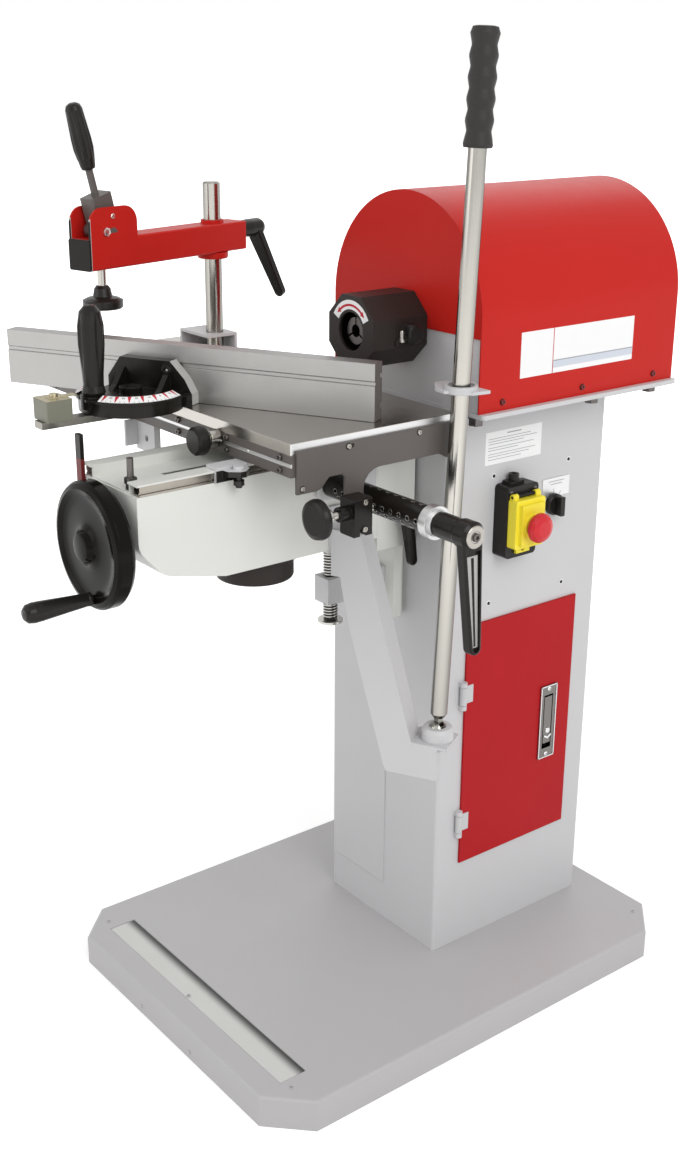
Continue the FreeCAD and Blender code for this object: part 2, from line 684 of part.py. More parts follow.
# handwheel with shaft and pinion, crank
hub_front = knee_front - 38
wheel = spin([(0, 11), (17, 11), (17, 16), (wheel_r - 20, 9), (wheel_r - 12, 10), (wheel_r - 4, 11),
              (wheel_r, 16), (wheel_r, 30), (wheel_r - 3, 34), (wheel_r - 9, 36), (wheel_r - 16, 33),
              (wheel_r - 20, 24), (wheel_r - 24, 17), (20, 25), (18, 38), (0, 38)],
             V(0, 0, 0), (X, 90))
wheel.translate(V(0, knee_front, wheel_z))
crank_x = 8.0
crank_z = wheel_z - crank_r
wheel_shaft = rod(wheel_shaft_r, hub_front * -1 + screw_y - gear_near + 4, V(0, hub_front - 4, wheel_z), Y)
pinion = along_front([(0, gear_near), (gear_near - trim, gear_near), (gear_far - trim, gear_far),
                      (gear_far - trim - 6, gear_far + 6), (14, gear_far + 6), (14, gear_far + gear_hub),
                      (0, gear_far + gear_hub)], V(0, screw_y, wheel_z))
pin_len = crank_len - 8
crank_pin = along_front([(0, 14), (4, 14), (4, pin_len + 34), (0, pin_len + 34)],
                        V(crank_x, knee_front, crank_z))
save("handwheel", joined([wheel, wheel_shaft, pinion, crank_pin]))
crank = spin([(4 + running_gap, 0), (8.5, 0), (8.5, 3), (8, 5), (9.6, 30), (12, crank_len - 22),
              (12.3, crank_len - 12), (11, crank_len - 5), (7, crank_len - 1), (0, crank_len),
              (0, crank_len - 6), (4 + running_gap, crank_len - 6)], V(0, 0, 0), (X, 90))
crank.translate(V(crank_x, knee_front - 37, crank_z))
save("crank_handle", crank)
washer_z = screw_bottom - 4
screw = joined([
    rod(screw_r, wheel_z - gear_far - washer_z, V(0, screw_y, washer_z)),
    rod(17, 4, V(0, screw_y, washer_z)),
    spin([(0, wheel_z - 46), (15, wheel_z - 46), (15, wheel_z - gear_far - 6),
          (gear_far - trim - 6, wheel_z - gear_far - 6),
          (gear_far - trim, wheel_z - gear_far), (gear_near - trim, wheel_z - gear_near),
          (0, wheel_z - gear_near)],
         V(0, screw_y, 0))])
save("lead_screw", screw)


def blade(length, root_r, tip_r, thick, pocket=0.0):
    # flat lever blade hanging along -Z from the origin, with a channel in its +X face
    def web(inset, x, depth):
        wide = root_r - inset
        narrow = tip_r - inset
        side = prism([V(x, -wide, 0), V(x, wide, 0), V(x, narrow, -length), V(x, -narrow, -length)],
                     V(depth, 0, 0))
        return joined([rod(wide, depth, V(x, 0, 0), X), rod(narrow, depth, V(x, 0, -length), X), side])

    body = web(0, -thick / 2, thick)
    face_x = thick / 2 - 0.1
    body = soft(body, thick / 6, lambda e: e.BoundBox.XMax < -face_x or e.BoundBox.XMin > face_x)
    if pocket:
        below = box(-thick, thick, -root_r, root_r, -length * 2, -root_r - 3)
        body = without(body, web(thick / 4, thick / 2 - pocket, pocket + 1).common(below))
    return body


arm = blade(62, 9, 6.5, 9, 3)
arm.rotate(V(0, 0, 0), X, 9)
arm.translate(V(17, 0, 0))
lock = joined([along_x([(0, -9), (5, -9), (5, 0), (8, 0), (10, 3), (10, 14), (9, 21.5), (0, 21.5)],
                       V(0, 0, 0)), arm])
lock.translate(V(knee_half + 0.6, lock_y, lock_z))
save("height_lock_lever", lock)

# lever arm plate with shelf and foot cup, drawn with its face along +X, then turned
def on_arm(shape):
    shape.rotate(V(0, 0, 0), Z, arm_yaw)
    shape.translate(V(arm_x, arm_y, 0))
    return shape


def local_plate(points, n0, n1):
    return prism([V(s, n0, z) for s, z in points], V(0, n1 - n0, 0))


face_pts = [(1, 702), (22, 582), (75, 386), (79, 379), (151, 379), (149, 428), (113, 428), (69, 591),
            (40, 700)]
face = local_plate(face_pts, 0, arm_sheet)
right = local_plate([(113, 424), (69, 591), (40, 700), (36, 700), (65, 590), (109, 424)], 0, 34)
left = local_plate([(1.5, 695), (22, 582), (75, 386), (79, 386), (26, 583), (5.5, 695)], 0, 12)
ledge = box(106, 162, 0, 50, 424, 428)
ledge = soft(ledge, 6.0, lambda e: upright(e) and e.BoundBox.YMin > 48)
arm_plate = on_arm(joined([face, right, left, ledge]))
cheek = box(knee_half, knee_half + arm_sheet, arm_y - 2, arm_y + 57, knee_bottom + 4, 732)
inside = box(0, knee_half, knee_front, 0, knee_bottom, knee_top)
stub = on_arm(box(-1, 12, 0, arm_sheet, 640, 702))
arm_plate = joined([arm_plate, stub, cheek]).cut(inside)
foot_hole = rod(8.3, 20, V(foot_x, foot_y, foot_z - 26))
save("lever_arm", without(arm_plate, foot_hole))
foot = V(foot_x, foot_y, foot_z)
cup = spin([(0, -29), (8, -29), (8, -13), (cup_r, -13), (cup_r, 0), (cup_r - 3, 5), (0, 5)], foot)
nut = hexagon(13, foot.add(V(0, 0, -27)), 10)
save("foot_cup", without(joined([cup, nut]), Part.makeSphere(ball_r + running_gap, foot),
                         rod(10, 20, V(foot_x, foot_y, foot_z + 3))))

# ball knuckle and rod: built upright at the origin, then leaned to the ring
lean_y = math.degrees(math.atan2(ring_y - foot_y, ring_z - foot_z))
lean_x = math.degrees(math.atan2(ring_x - foot_x, math.hypot(ring_z - foot_z, ring_y - foot_y)))


def on_foot(shape, tip):
    if tip:
        shape.rotate(V(0, 0, 0), Y, lean_x)
    shape.rotate(V(0, 0, 0), X, -lean_y)
    shape.translate(foot)
    return shape


knuckle = Part.makeSphere(ball_r, V(0, 0, 0)).cut(box(-20, 20, -4, 4, -7, 20))
knuckle = knuckle.fuse(rod(2.5, 20, V(0, -10, 0), Y)).removeSplitter()
save("ball_knuckle", on_foot(knuckle, False))
rod_len = (grip_top_z - foot_z) / math.cos(math.radians(math.hypot(lean_x, lean_y)))
tongue = joined([rod(6, 7.4, V(0, -3.7, 0), Y), box(-4, 4, -3.7, 3.7, 0, 19),
                 spin([(0, 17), (7, 17), (rod_r, 23), (rod_r, rod_len - 6), (rod_r - 2, rod_len - 4),
                       (0, rod_len - 4)], V(0, 0, 0))])
save("lever_rod", on_foot(without(tongue, rod(2.5 + running_gap, 20, V(0, -10, 0), Y)), True))
g0 = rod_len - grip_len
profile = [(rod_r, g0), (grip_r, g0), (grip_r + 1, g0 + 3)]
for k in range(5):
    z = g0 + 8 + k * 23
    profile += [(grip_r, z), (grip_r - 2, z + 9), (grip_r - 2, z + 11), (grip_r, z + 20)]
profile += [(grip_r + 0.5, rod_len - 8), (grip_r - 2, rod_len - 1), (grip_r - 6, rod_len), (0, rod_len),
            (0, rod_len - 4), (rod_r - 2, rod_len - 4), (rod_r, rod_len - 6)]
save("lever_grip", on_foot(spin(profile, V(0, 0, 0)), True))

# saddle with blocks, apron and pads
saddle_z0 = deck_top + saddle_lift
saddle_z1 = saddle_z0 + saddle_t
bar_z0 = table_top_z - table_t - upper_bar_h - strip_h - lower_bar_h
strip_z0 = bar_z0 + lower_bar_h
upper_z0 = strip_z0 + strip_h
under_z = upper_z0 + upper_bar_h
blocks = {-1: ((-250.0, -215.0), (-110.0, -70.0)), 1: ((-298.0, -255.0), (-110.0, -70.0))}
plate = box(-saddle_x, saddle_x, saddle_front, saddle_back, saddle_z0, saddle_z1)
tongues = []
guides = []
for s in (-1, 1):
    x0, x1 = sorted((s * (tray_half + 2), s * hook_out))
    outer0, outer1 = sorted((s * (strip_half + 0.3), s * hook_out))
    hook0, hook1 = sorted((s * (knee_half + 0.3), s * hook_out))
    tongues.append(box(x0, x1, blocks[s][0][0], saddle_front + 1, saddle_z0, saddle_z1))
    for y0, y1 in blocks[s]:
        guides.append(box(x0, x1, y0, y1, deck_top + slide_gap, saddle_z0))
        guides.append(box(outer0, outer1, y0, y1, knee_top + 1, saddle_z0))
        guides.append(box(hook0, hook1, y0, y1, knee_top + 1, knee_top + rail_h - 0.3))
relief = box(-30, 30, -190, -70, saddle_z0 - 1, saddle_z1 + 1)
pads = []
strip_front = (table_y0, table_y0 + strip_w)
strip_back = (table_y1 - strip_w, table_y1)
for name, y0, y1, groove in (("front", table_y0 + bar_t + 2, saddle_front + 12, strip_front),
                             ("back", saddle_back - 12, table_y1 - bar_t - 2, strip_back)):
    pad = box(-saddle_x, saddle_x, y0, y1, saddle_z1, upper_z0 + 6)
    pad = without(pad, box(-saddle_x - 1, saddle_x + 1, groove[0] - 1, groove[1] + slide_gap,
                           strip_z0 - slide_gap, upper_z0 + slide_gap))
    pads.append(pad)
apron_x = hook_out - 2
apron = box(apron_x, apron_x + apron_t, -150, -60, tube_z - tube_r - 3, saddle_z0)
apron = soft(apron, 8.0, lambda e: lengthwise(X)(e) and e.BoundBox.ZMax < tube_z)
apron = without(apron, rod(8, 30, V(60, tube_y, tube_z), X))
tab_y = blocks[1][0][0] + 8
tab = plate_xy([(hook_out - 1, tab_y), (hook_out + 10, tab_y + 2), (hook_out + 19, tab_y + 13),
                (hook_out + 19, tab_y + 21),
                (hook_out + 10, tab_y + 32), (hook_out - 1, tab_y + 34)], saddle_z0 - 7.5, 7)
tab_bolt = [rod(4, 22, V(hook_out + 9, tab_y + 17, saddle_z0 - 22)),
            rod(6.5, 5, V(hook_out + 9, tab_y + 17, saddle_z0 - 0.6)),
            rod(6.5, 6, V(hook_out + 9, tab_y + 17, saddle_z0 - 19))]
save("saddle", without(joined([plate, apron, tab] + tongues + guides + pads + tab_bolt), relief))

# index tube, its collar and clamp lever
tube_x0 = apron_x + apron_t
tube = rod(tube_r, tube_x1 - tube_x0, V(tube_x0, tube_y, tube_z), X)
tube = without(tube, rod(tube_bore_r, tube_x1 - tube_x0 - 19, V(tube_x0 + 20, tube_y, tube_z), X))
holes = []
for row, turn in enumerate((180, 150, 120)):
    for k in range(11):
        hole = rod(2.6, 12, V(tube_x0 + 26 + k * 15 + row * 5, 0, tube_r - 6))
        hole.rotate(V(0, 0, 0), X, 90)
        hole.rotate(V(0, 0, 0), X, 180 - turn)
        hole.translate(V(0, tube_y, tube_z))
        holes.append(hole)
collar_x = 255.0
collar = along_x([(tube_r - 1, 0), (tube_r + 4, 0), (tube_r + 4, 12.5), (tube_r - 1, 12.5)],
                 V(collar_x, tube_y, tube_z))
plug_x = tube_x1
plug = along_x([(0, -24), (tube_bore_r, -24), (tube_bore_r, 0), (tube_r, 0), (tube_r, 4), (6, 4), (6, 46),
                (0, 46)],
               V(plug_x, tube_y, tube_z))
save("index_tube", joined([without(tube, *holes), collar, plug]))
hub = along_x([(6 + running_gap, 0), (13, 0), (15, 3), (15, 34), (17, 38), (17, 54), (12, 58), (0, 58),
               (0, 43),
               (6 + running_gap, 43)], V(plug_x + 4.3, tube_y, tube_z))
arm = blade(132, 15, 8.5, 14, 4)
arm.rotate(V(0, 0, 0), Y, -5)
arm.translate(V(plug_x + 4.3 + 48, tube_y, tube_z))
core = rod(6 + running_gap, 43, V(plug_x + 4.2, tube_y, tube_z), X)
save("tube_clamp_lever", joined([hub, arm]).cut(core))

# table
top = box(table_x0, table_x1, table_y0, table_y1, under_z, table_top_z)
slot_z = table_top_z - mitre_slot_d
top = without(top, box(mitre_x - mitre_slot_w / 2, mitre_x + mitre_slot_w / 2, table_y0 - 1, table_y1 + 1,
                       slot_z, table_top_z + 1))
top = soft(top, 1.2, lambda e: upright(e) and e.BoundBox.ZMin < under_z + 1 and
           (e.BoundBox.XMax < table_x0 + 1 or e.BoundBox.XMin > table_x1 - 1))
save("table_top", top)
for name, y0, strip in (("front", table_y0, strip_front), ("back", table_y1 - bar_t, strip_back)):
    upper = box(table_x0, table_x1, y0, y0 + bar_t, upper_z0, under_z)
    lower = box(table_x0, table_x1, y0, y0 + bar_t, bar_z0, strip_z0)
    inset = 0.8
    y_out = max(strip[0], table_y0 + inset)
    rail = joined([upper, box(table_x0, table_x1, y_out, min(strip[1], table_y1 - inset), strip_z0,
                              upper_z0), lower])
    save("table_rail_" + name, rail)
end_pts = [(-250, 843), (-250, 792), (-222, 792), (-214, 795), (-209, 801), (-204, 806), (-184, 806),
           (-180, 802),
           (-180, 735), (-153, 735), (-153, 783), (-151, 792), (-145, 800), (-137, 804.5), (-129, 806),
           (-37, 806),
           (-30, 804), (-24, 800), (-21, 799), (-6, 799), (-6, 843)]
end_plate = plate_yz(end_pts, table_x1, end_plate_t)
end_holes = [rod(2.6, 10, V(table_x1 - 2, y, table_top_z - table_t), X) for y in (-170, -68)]
save("end_plate", without(end_plate, *end_holes))
block_x0 = table_x1 + end_plate_t
block = box(block_x0, block_x1, block_y0, block_y1, block_z0, block_z1)
block = soft(block, 2.0, lengthwise(Y))
barrel = rod(9, 14, V(plunger_x, block_y0 - 13.9, tube_z), Y)
block = joined([block, barrel])
block = without(block, rod(plunger_r + running_gap, 60, V(plunger_x, block_y0 - 20, tube_z), Y),
                box(plunger_x - 1, block_x1 + 1, block_y0 + 8, block_y1 - 8, block_z0 - 1, block_z0 + 9))
save("index_block", block)
plunger_tip = tube_y - tube_r - 2
disc_y = block_y0 - 42
plunger = spin([(0, 0), (2.5, 0), (plunger_r, 4), (plunger_r, plunger_tip - disc_y),
                (0, plunger_tip - disc_y)],
               V(0, 0, 0), (X, 90))
plunger.translate(V(plunger_x, plunger_tip, tube_z))
disc = spin([(0, -4), (9, -4), (9, 4), (18, 8), (24, 10), (24.5, 14), (23, 19), (18, 21), (0, 21)],
            V(0, 0, 0), (X, 90))
disc.translate(V(plunger_x, disc_y + 12, tube_z))
save("index_plunger", joined([plunger, disc]))
stop_x = 10.0
stop_hub_z = 829.5
knob = spin([(0, -18), (9, -18), (11, -16), (11, -3), (7, 0), (12, 0), (17, 4), (17.8, 8), (17.2, 16),
             (14, 19), (0, 19)],
            V(0, 0, 0))
knob.rotate(V(0, 0, 0), X, 90)
knob.translate(V(stop_x, table_y0 - 18.5, stop_hub_z))
save("table_stop_knob", knob)
angle = joined([box(-194, -148, table_y0 + 4, table_y0 + bar_t + 3, 772, bar_z0),
                box(-194, -190, table_y0 - 14, table_y0 + bar_t + 3, 778, bar_z0)])
save("front_bracket", angle.cut(rod(4, 20, V(-168, table_y0, 790), Y)))

# lever ring bracket on the right rear corner, post bracket on the left rear corner
tab = joined([
    plate_xy([(134, table_y1 + 4), (134, -22), (158, -42), (176, -44), (204, -22), (208, 2), (160, 2)],
             ring_z - ring_plate_t, ring_plate_t),
    box(134, 155, table_y1, table_y1 + 4, strip_z0, ring_z)])
tab = joined([tab, rod(ring_hole_r + ring_wall, ring_h, V(ring_x, ring_y, ring_z - ring_plate_t))])
tab = without(tab, rod(ring_hole_r, 30, V(ring_x, ring_y, ring_z - 10)))
save("lever_ring_bracket", tab)
tab_z = table_top_z + 22
flange = joined([box(post_x - 54, post_x + 22, -52, table_y1 + 4, tab_z, tab_z + 4),
                 box(post_x - 54, post_x + 22, table_y1, table_y1 + 4, upper_z0, tab_z + 4),
                 box(post_x - 54, post_x - 50, -52, table_y1 + 4, table_top_z + 0.1, tab_z + 4)])
flange = joined([flange, box(table_x0 + 2, post_x - 50, table_y1, table_y1 + 4, upper_z0, table_top_z + 10)])
save("post_bracket", without(flange, rod(post_r, 60, V(post_x, post_y, table_top_z - 10))))
save("clamp_post", spin([(0, 0), (post_r, 0), (post_r, post_top - table_top_z - 2),
                         (post_r - 2, post_top - table_top_z), (0, post_top - table_top_z)],
                        V(post_x, post_y, table_top_z)))

# mitre gauge
bar_z = slot_z + 0.1
bar_top = bar_z + mitre_bar_t - 0.1
pivot_r = 8.0
gauge = box(mitre_x - mitre_bar_w / 2, mitre_x + mitre_bar_w / 2, mitre_bar_front, mitre_bar_back, bar_z,
            bar_top)
stud = rod(pivot_r, 16, V(mitre_x, mitre_y, bar_z + 2))
save("mitre_bar", joined([gauge, stud]))
holder_top = table_top_z + 26
holder = box(mitre_x - 19, mitre_x + 17, mitre_bar_front + 4, mitre_bar_front + 38, bar_top, holder_top)
holder = soft(holder, 1.5, upright)
save("pointer_block", joined([
    holder, box(mitre_x - 6, mitre_x + 6, mitre_bar_front + 14, mitre_bar_front + 50, holder_top, holder_top
                + 1.2),
    rod(5, 4, V(mitre_x, mitre_bar_front + 22, holder_top + 1.2))]))


def on_gauge(shape):
    # drawn square to the bar, with its height counted from the table's top
    shape.rotate(V(0, 0, 0), Z, fence_yaw)
    shape.translate(V(mitre_x, mitre_y, table_top_z))
    return shape


def fluted(points, base, count, flute_r, reach, z0, z1):
    # a turned handle with lengthwise flutes
    handle = spin(points, base)
    for k in range(count):
        a = 2 * math.pi * (k + 0.5) / count
        handle = without(handle, rod(flute_r, z1 - z0, base.add(V(reach * math.cos(a), reach * math.sin(a),
                                                                  z0))))
    return handle


head_t = 16.0
foot_z0 = 0.4
scale_z = foot_z0 + head_t
disc = rod(mitre_r - 3, head_t, V(0, 0, foot_z0)).common(box(-mitre_r, mitre_r, -mitre_r, 18, 0, 2 * head_t))
neck = box(-52, 52, 0, fence_off, foot_z0, scale_z)
rise = prism([V(u, fence_off - 16, z) for u, z in ((-54, 14), (-54, 28), (-36, 53), (36, 53), (56, 32),
                                                   (66, 14))],
             V(0, 16, 0))
ribs = [prism([V(u, 0, 14), V(u, fence_off - 14, 14), V(u, fence_off - 14, 44), V(u, 14, 22)], V(7, 0, 0))
        for u in (-36, 29)]
foot_plate = prism([V(-54, 0, foot_z0), V(66, 24, foot_z0), V(66, fence_off, foot_z0),
                    V(-54, fence_off, foot_z0)],
                   V(0, 0, 14))
seat_u = -24.3
seat_v = -44.8
body = joined([disc, neck, foot_plate, rise, ribs[0], ribs[1], rod(17, 16, V(seat_u, seat_v, 6)),
               rod(14, 18, V(0, 0, 8))])
body = without(body, rod(pivot_r + running_gap, scale_z + 1.1, V(0, 0, 0)))
stud = rod(5, 30, V(seat_u, seat_v, 20))
scale = without(rod(mitre_r, 3, V(0, 0, scale_z)), rod(mitre_r - 13, 5, V(0, 0, head_t)),
                box(-mitre_r, mitre_r, 8, mitre_r, 8, 28), rod(18, 12, V(seat_u, seat_v, 10)))
save("mitre_head", on_gauge(joined([body, stud] + scale.Solids)))
handle = fluted([(5.05, 22.3), (13, 22.3), (14.5, 26), (12.5, 34), (13, 48), (16, 83), (16, 106), (13, 123),
                 (7, 130), (0, 131), (0, 51), (5.05, 51)], V(seat_u, seat_v, 0), 8, 6.0, 19.4, 46, 124)
save("mitre_handle", on_gauge(handle))
z0 = seat_gap
back_v = fence_off + fence_t
prof = [(fence_off, z0), (back_v, z0), (back_v, z0 + 14), (back_v - 6, z0 + 14), (back_v - 6, z0 + 20),
        (back_v, z0 + 20), (back_v, z0 + fence_h - 20), (back_v - 6, z0 + fence_h - 20),
        (back_v - 6, z0 + fence_h - 14), (back_v, z0 + fence_h - 14), (back_v, z0 + fence_h),
        (fence_off, z0 + fence_h),
        (fence_off, z0 + 49), (fence_off + 1.6, z0 + 48), (fence_off + 1.6, z0 + 44), (fence_off, z0 + 43)]
fence = prism([V(fence_left, v, z) for v, z in prof], V(fence_right - fence_left, 0, 0))
chambers = [box(fence_left - 1, fence_right - 2, fence_off + 4, back_v - 8, z0 + low, z0 + high)
            for low, high in ((3, fence_h / 2 - 3), (fence_h / 2 + 1, fence_h - 3))]
save("fence", on_gauge(without(fence, *chambers)))

# hold-down clamp
def on_post(shape):
    shape.rotate(V(0, 0, 0), Z, clamp_yaw)
    shape.translate(V(post_x, post_y, 0))
    return shape


half_side = clamp_side / 2
arm_z0 = clamp_z - half_side
arm_z1 = clamp_z + half_side
sleeve = spin([(post_r + running_gap, arm_z0 - 9), (21, arm_z0 - 9), (22, arm_z0 - 7), (22, arm_z0 - 0.2),
               (sleeve_r, arm_z0 - 0.2), (sleeve_r, arm_z1 + 5), (post_r + running_gap, arm_z1 + 5)],
              V(post_x, post_y, 0))
save("arm_sleeve", sleeve)
arm = box(-half_side, half_side, -clamp_front, -clamp_back, arm_z0, arm_z1)
arm = soft(arm, 3.0, lengthwise(Y))
hollow = box(-half_side + clamp_wall, half_side - clamp_wall, -clamp_front - 1, -clamp_back + 1,
             arm_z0 + clamp_wall, arm_z1 - clamp_wall)
arm = without(arm, hollow)
bush = rod(10, clamp_side - 2 * clamp_wall + 1, V(0, -plunge_s, arm_z0 + clamp_wall - 0.5))
rear = box(-half_side + 1, half_side - 1, -clamp_back - 3, -clamp_back, arm_z0 + 1, arm_z1 - 1)
cap = box(-half_side, half_side, -clamp_front - 3, -clamp_front, arm_z0, arm_z1)
cap = soft(cap, 3.0, lengthwise(Y))
cheeks = []
for x in (-half_side, half_side - clamp_wall):
    cheek = box(x, x + clamp_wall, -cheek_front, -cheek_back, arm_z1 - 3, cheek_top)
    cheeks.append(soft(cheek, cheek_r, lambda e: lengthwise(X)(e) and e.BoundBox.ZMin > cheek_top - 1))
arm = joined([arm, bush, rear, cap] + cheeks)
lever_z = clamp_z + 6
arm = without(arm, rod(sleeve_r + running_gap, clamp_side + 10, V(0, 0, arm_z0 - 5)),
              rod(plunge_r + running_gap, clamp_side + 2, V(0, -plunge_s, arm_z0 - 1)),
              rod(4 + running_gap, clamp_side + 10, V(-half_side - 5, -toggle_s, toggle_z), X),
              rod(5 + running_gap, 12, V(0, -clamp_back - 6, lever_z), Y))
save("clamp_arm", on_post(arm))


def on_pivot(shape):
    # drawn upright round the toggle's pivot, then leaned to the front
    shape.rotate(V(0, 0, 0), X, toggle_lean)
    shape.translate(V(0, -toggle_s, toggle_z))
    return on_post(shape)


eye = rod(toggle_eye_r, 26, V(-13, 0, 0), X)
axle = rod(4, clamp_side + 6, V(-half_side - 3, 0, 0), X)
fork = box(-13, 13, toggle_off - 17, toggle_off + 17, -4, 43)
fork = soft(fork, 2.0, lengthwise(Z))
stem = rod(5, grip_from + 50 - 40, V(0, toggle_off, 40))
save("toggle_lever", on_pivot(joined([eye, axle, fork, stem])))
grip = fluted([(0, 0), (9, 0), (10, 3), (13, 26), (13, 38), (11.5, 66), (11, 76), (9, 81), (5, 83.5),
               (0, 84)],
              V(0, 0, 0), 8, 5.0, 15.8, 14, 78)
grip.translate(V(0, toggle_off, grip_from))
save("toggle_grip", on_pivot(without(grip, rod(5, grip_from + 10, V(0, toggle_off, 40)))))
plunger = spin([(0, pad_z + 12), (plunge_r, pad_z + 12), (plunge_r, arm_z1), (0, arm_z1)], V(0, -plunge_s, 0))
pad = spin([(0, pad_z), (pad_r - 2, pad_z), (pad_r, pad_z + 2), (pad_r, pad_z + 11), (pad_r - 6, pad_z + 14),
            (13, pad_z + 16), (11, pad_z + 26), (8, pad_z + 30), (0, pad_z + 30)],
           V(0, -plunge_s, 0))
save("clamp_plunger", on_post(joined([plunger, pad])))
hub = spin([(0, 0), (11, 0), (12, 4), (13, 26), (13, 47), (11, 52), (0, 52)], V(0, 0, 0))
lever_blade = blade(104, 12, 7.5, 11)
lever_blade.rotate(V(0, 0, 0), Y, 110)
lever_blade.translate(V(0, 0, 38))
rear_arm = joined([hub, rod(5, 9, V(0, 0, -8.6)), lever_blade])
rear_arm.rotate(V(0, 0, 0), Z, -90)
rear_arm.rotate(V(0, 0, 0), X, -90)
rear_arm.rotate(V(0, 0, 0), Y, -12)
rear_arm.translate(V(0, -clamp_back + 0.4, lever_z))
save("sleeve_clamp_lever", on_post(rear_arm))
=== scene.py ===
import math
import bmesh
import bpy
from mathutils import Matrix, Vector


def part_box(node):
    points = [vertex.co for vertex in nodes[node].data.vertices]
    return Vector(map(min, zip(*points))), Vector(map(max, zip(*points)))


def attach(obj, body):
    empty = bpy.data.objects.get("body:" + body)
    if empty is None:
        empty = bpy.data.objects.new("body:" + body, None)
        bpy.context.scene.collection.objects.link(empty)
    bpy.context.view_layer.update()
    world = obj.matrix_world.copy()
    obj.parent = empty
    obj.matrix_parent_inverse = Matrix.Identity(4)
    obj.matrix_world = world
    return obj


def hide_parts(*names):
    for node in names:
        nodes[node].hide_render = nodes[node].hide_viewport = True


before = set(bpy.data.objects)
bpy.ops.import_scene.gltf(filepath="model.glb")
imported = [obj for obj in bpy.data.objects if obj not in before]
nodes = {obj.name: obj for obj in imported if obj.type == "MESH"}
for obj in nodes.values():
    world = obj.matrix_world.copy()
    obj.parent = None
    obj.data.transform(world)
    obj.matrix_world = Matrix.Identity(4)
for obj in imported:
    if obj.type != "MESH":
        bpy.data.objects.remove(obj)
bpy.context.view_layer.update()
mm = 0.001
print("stage: frame loaded,", len(nodes), "nodes")

# place taken from the frame, in metres
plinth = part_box("base_plinth")

# finishes: colour, roughness, depth and scale of the skin's relief; gloss is the shader's specular level
paints = {
    "greyPaint": {"color": (0.600, 0.597, 0.606), "rough": 0.42, "skin": 0.10, "scale": 900, "gloss": 0.35},
    "baseGrey": {"color": (0.495, 0.485, 0.492), "rough": 0.48, "skin": 0.22, "scale": 520, "gloss": 0.30},
    "creamPaint": {"color": (0.74, 0.745, 0.705), "rough": 0.30, "skin": 0.08, "scale": 600, "gloss": 0.40},
    "redPaint": {"color": (0.54, 0.018, 0.013), "rough": 0.36, "skin": 0.12, "scale": 700, "gloss": 0.12},
    # the door's red is the hood's red paint made darker and less orange: painted shade for the door, which sits
    # lower, in shade
    "shadedDoorRed": {"color": (0.44, 0.010, 0.014), "rough": 0.40, "skin": 0.12, "scale": 700, "gloss": 0.11},
    "blackPaint": {"color": (0.0105, 0.0085, 0.007), "rough": 0.24, "skin": 0.08, "scale": 800, "gloss": 0.2},
    "wheelBlack": {"color": (0.006, 0.005, 0.004), "rough": 0.17, "skin": 0.05, "scale": 800, "gloss": 0.08},
    "darkPaint": {"color": (0.105, 0.092, 0.084), "rough": 0.40, "skin": 0.12, "scale": 800, "gloss": 0.35},
    "motorPaint": {"color": (0.14, 0.16, 0.19), "rough": 0.45, "skin": 0.15, "scale": 600, "gloss": 0.4},
    "whiteVinyl": {"color": (0.90, 0.90, 0.90), "rough": 0.40, "skin": 0.03, "scale": 1200, "gloss": 0.3},
    "paleVinyl": {"color": (0.62, 0.66, 0.73), "rough": 0.40, "skin": 0.03, "scale": 1200, "gloss": 0.3},
    "redVinyl": {"color": (0.52, 0.012, 0.03), "rough": 0.40, "skin": 0.03, "scale": 1200, "gloss": 0.3},
    "postRed": {"color": (0.16, 0.018, 0.018), "rough": 0.35, "skin": 0.10, "scale": 800, "gloss": 0.4},
    "castEdge": {"color": (0.46, 0.455, 0.44), "rough": 0.45, "skin": 0.2, "scale": 500, "gloss": 0.4},
    "greyPrint": {"color": (0.36, 0.37, 0.40), "rough": 0.45, "skin": 0.03, "scale": 1200, "gloss": 0.3},
}
plastics = {
    "blackPlastic": {"color": (0.014, 0.0125, 0.011), "rough": 0.30, "skin": 0.08, "scale": 1600, "gloss": 0.2},
    "guardPlastic": {"color": (0.026, 0.020, 0.018), "rough": 0.42, "skin": 0.16, "scale": 1500, "gloss": 0.2},
    "yellowPlastic": {"color": (0.93, 0.79, 0.045), "rough": 0.34, "skin": 0.05, "scale": 1400, "gloss": 0.35},
    "redPlastic": {"color": (0.62, 0.016, 0.024), "rough": 0.32, "skin": 0.04, "scale": 1400, "gloss": 0.35},
    "gripRubber": {"color": (0.034, 0.031, 0.030), "rough": 0.50, "skin": 0.20, "scale": 1900, "gloss": 0.22},
    "olivePaint": {"color": (0.20, 0.20, 0.155), "rough": 0.45, "skin": 0.10, "scale": 900, "gloss": 0.35},
}
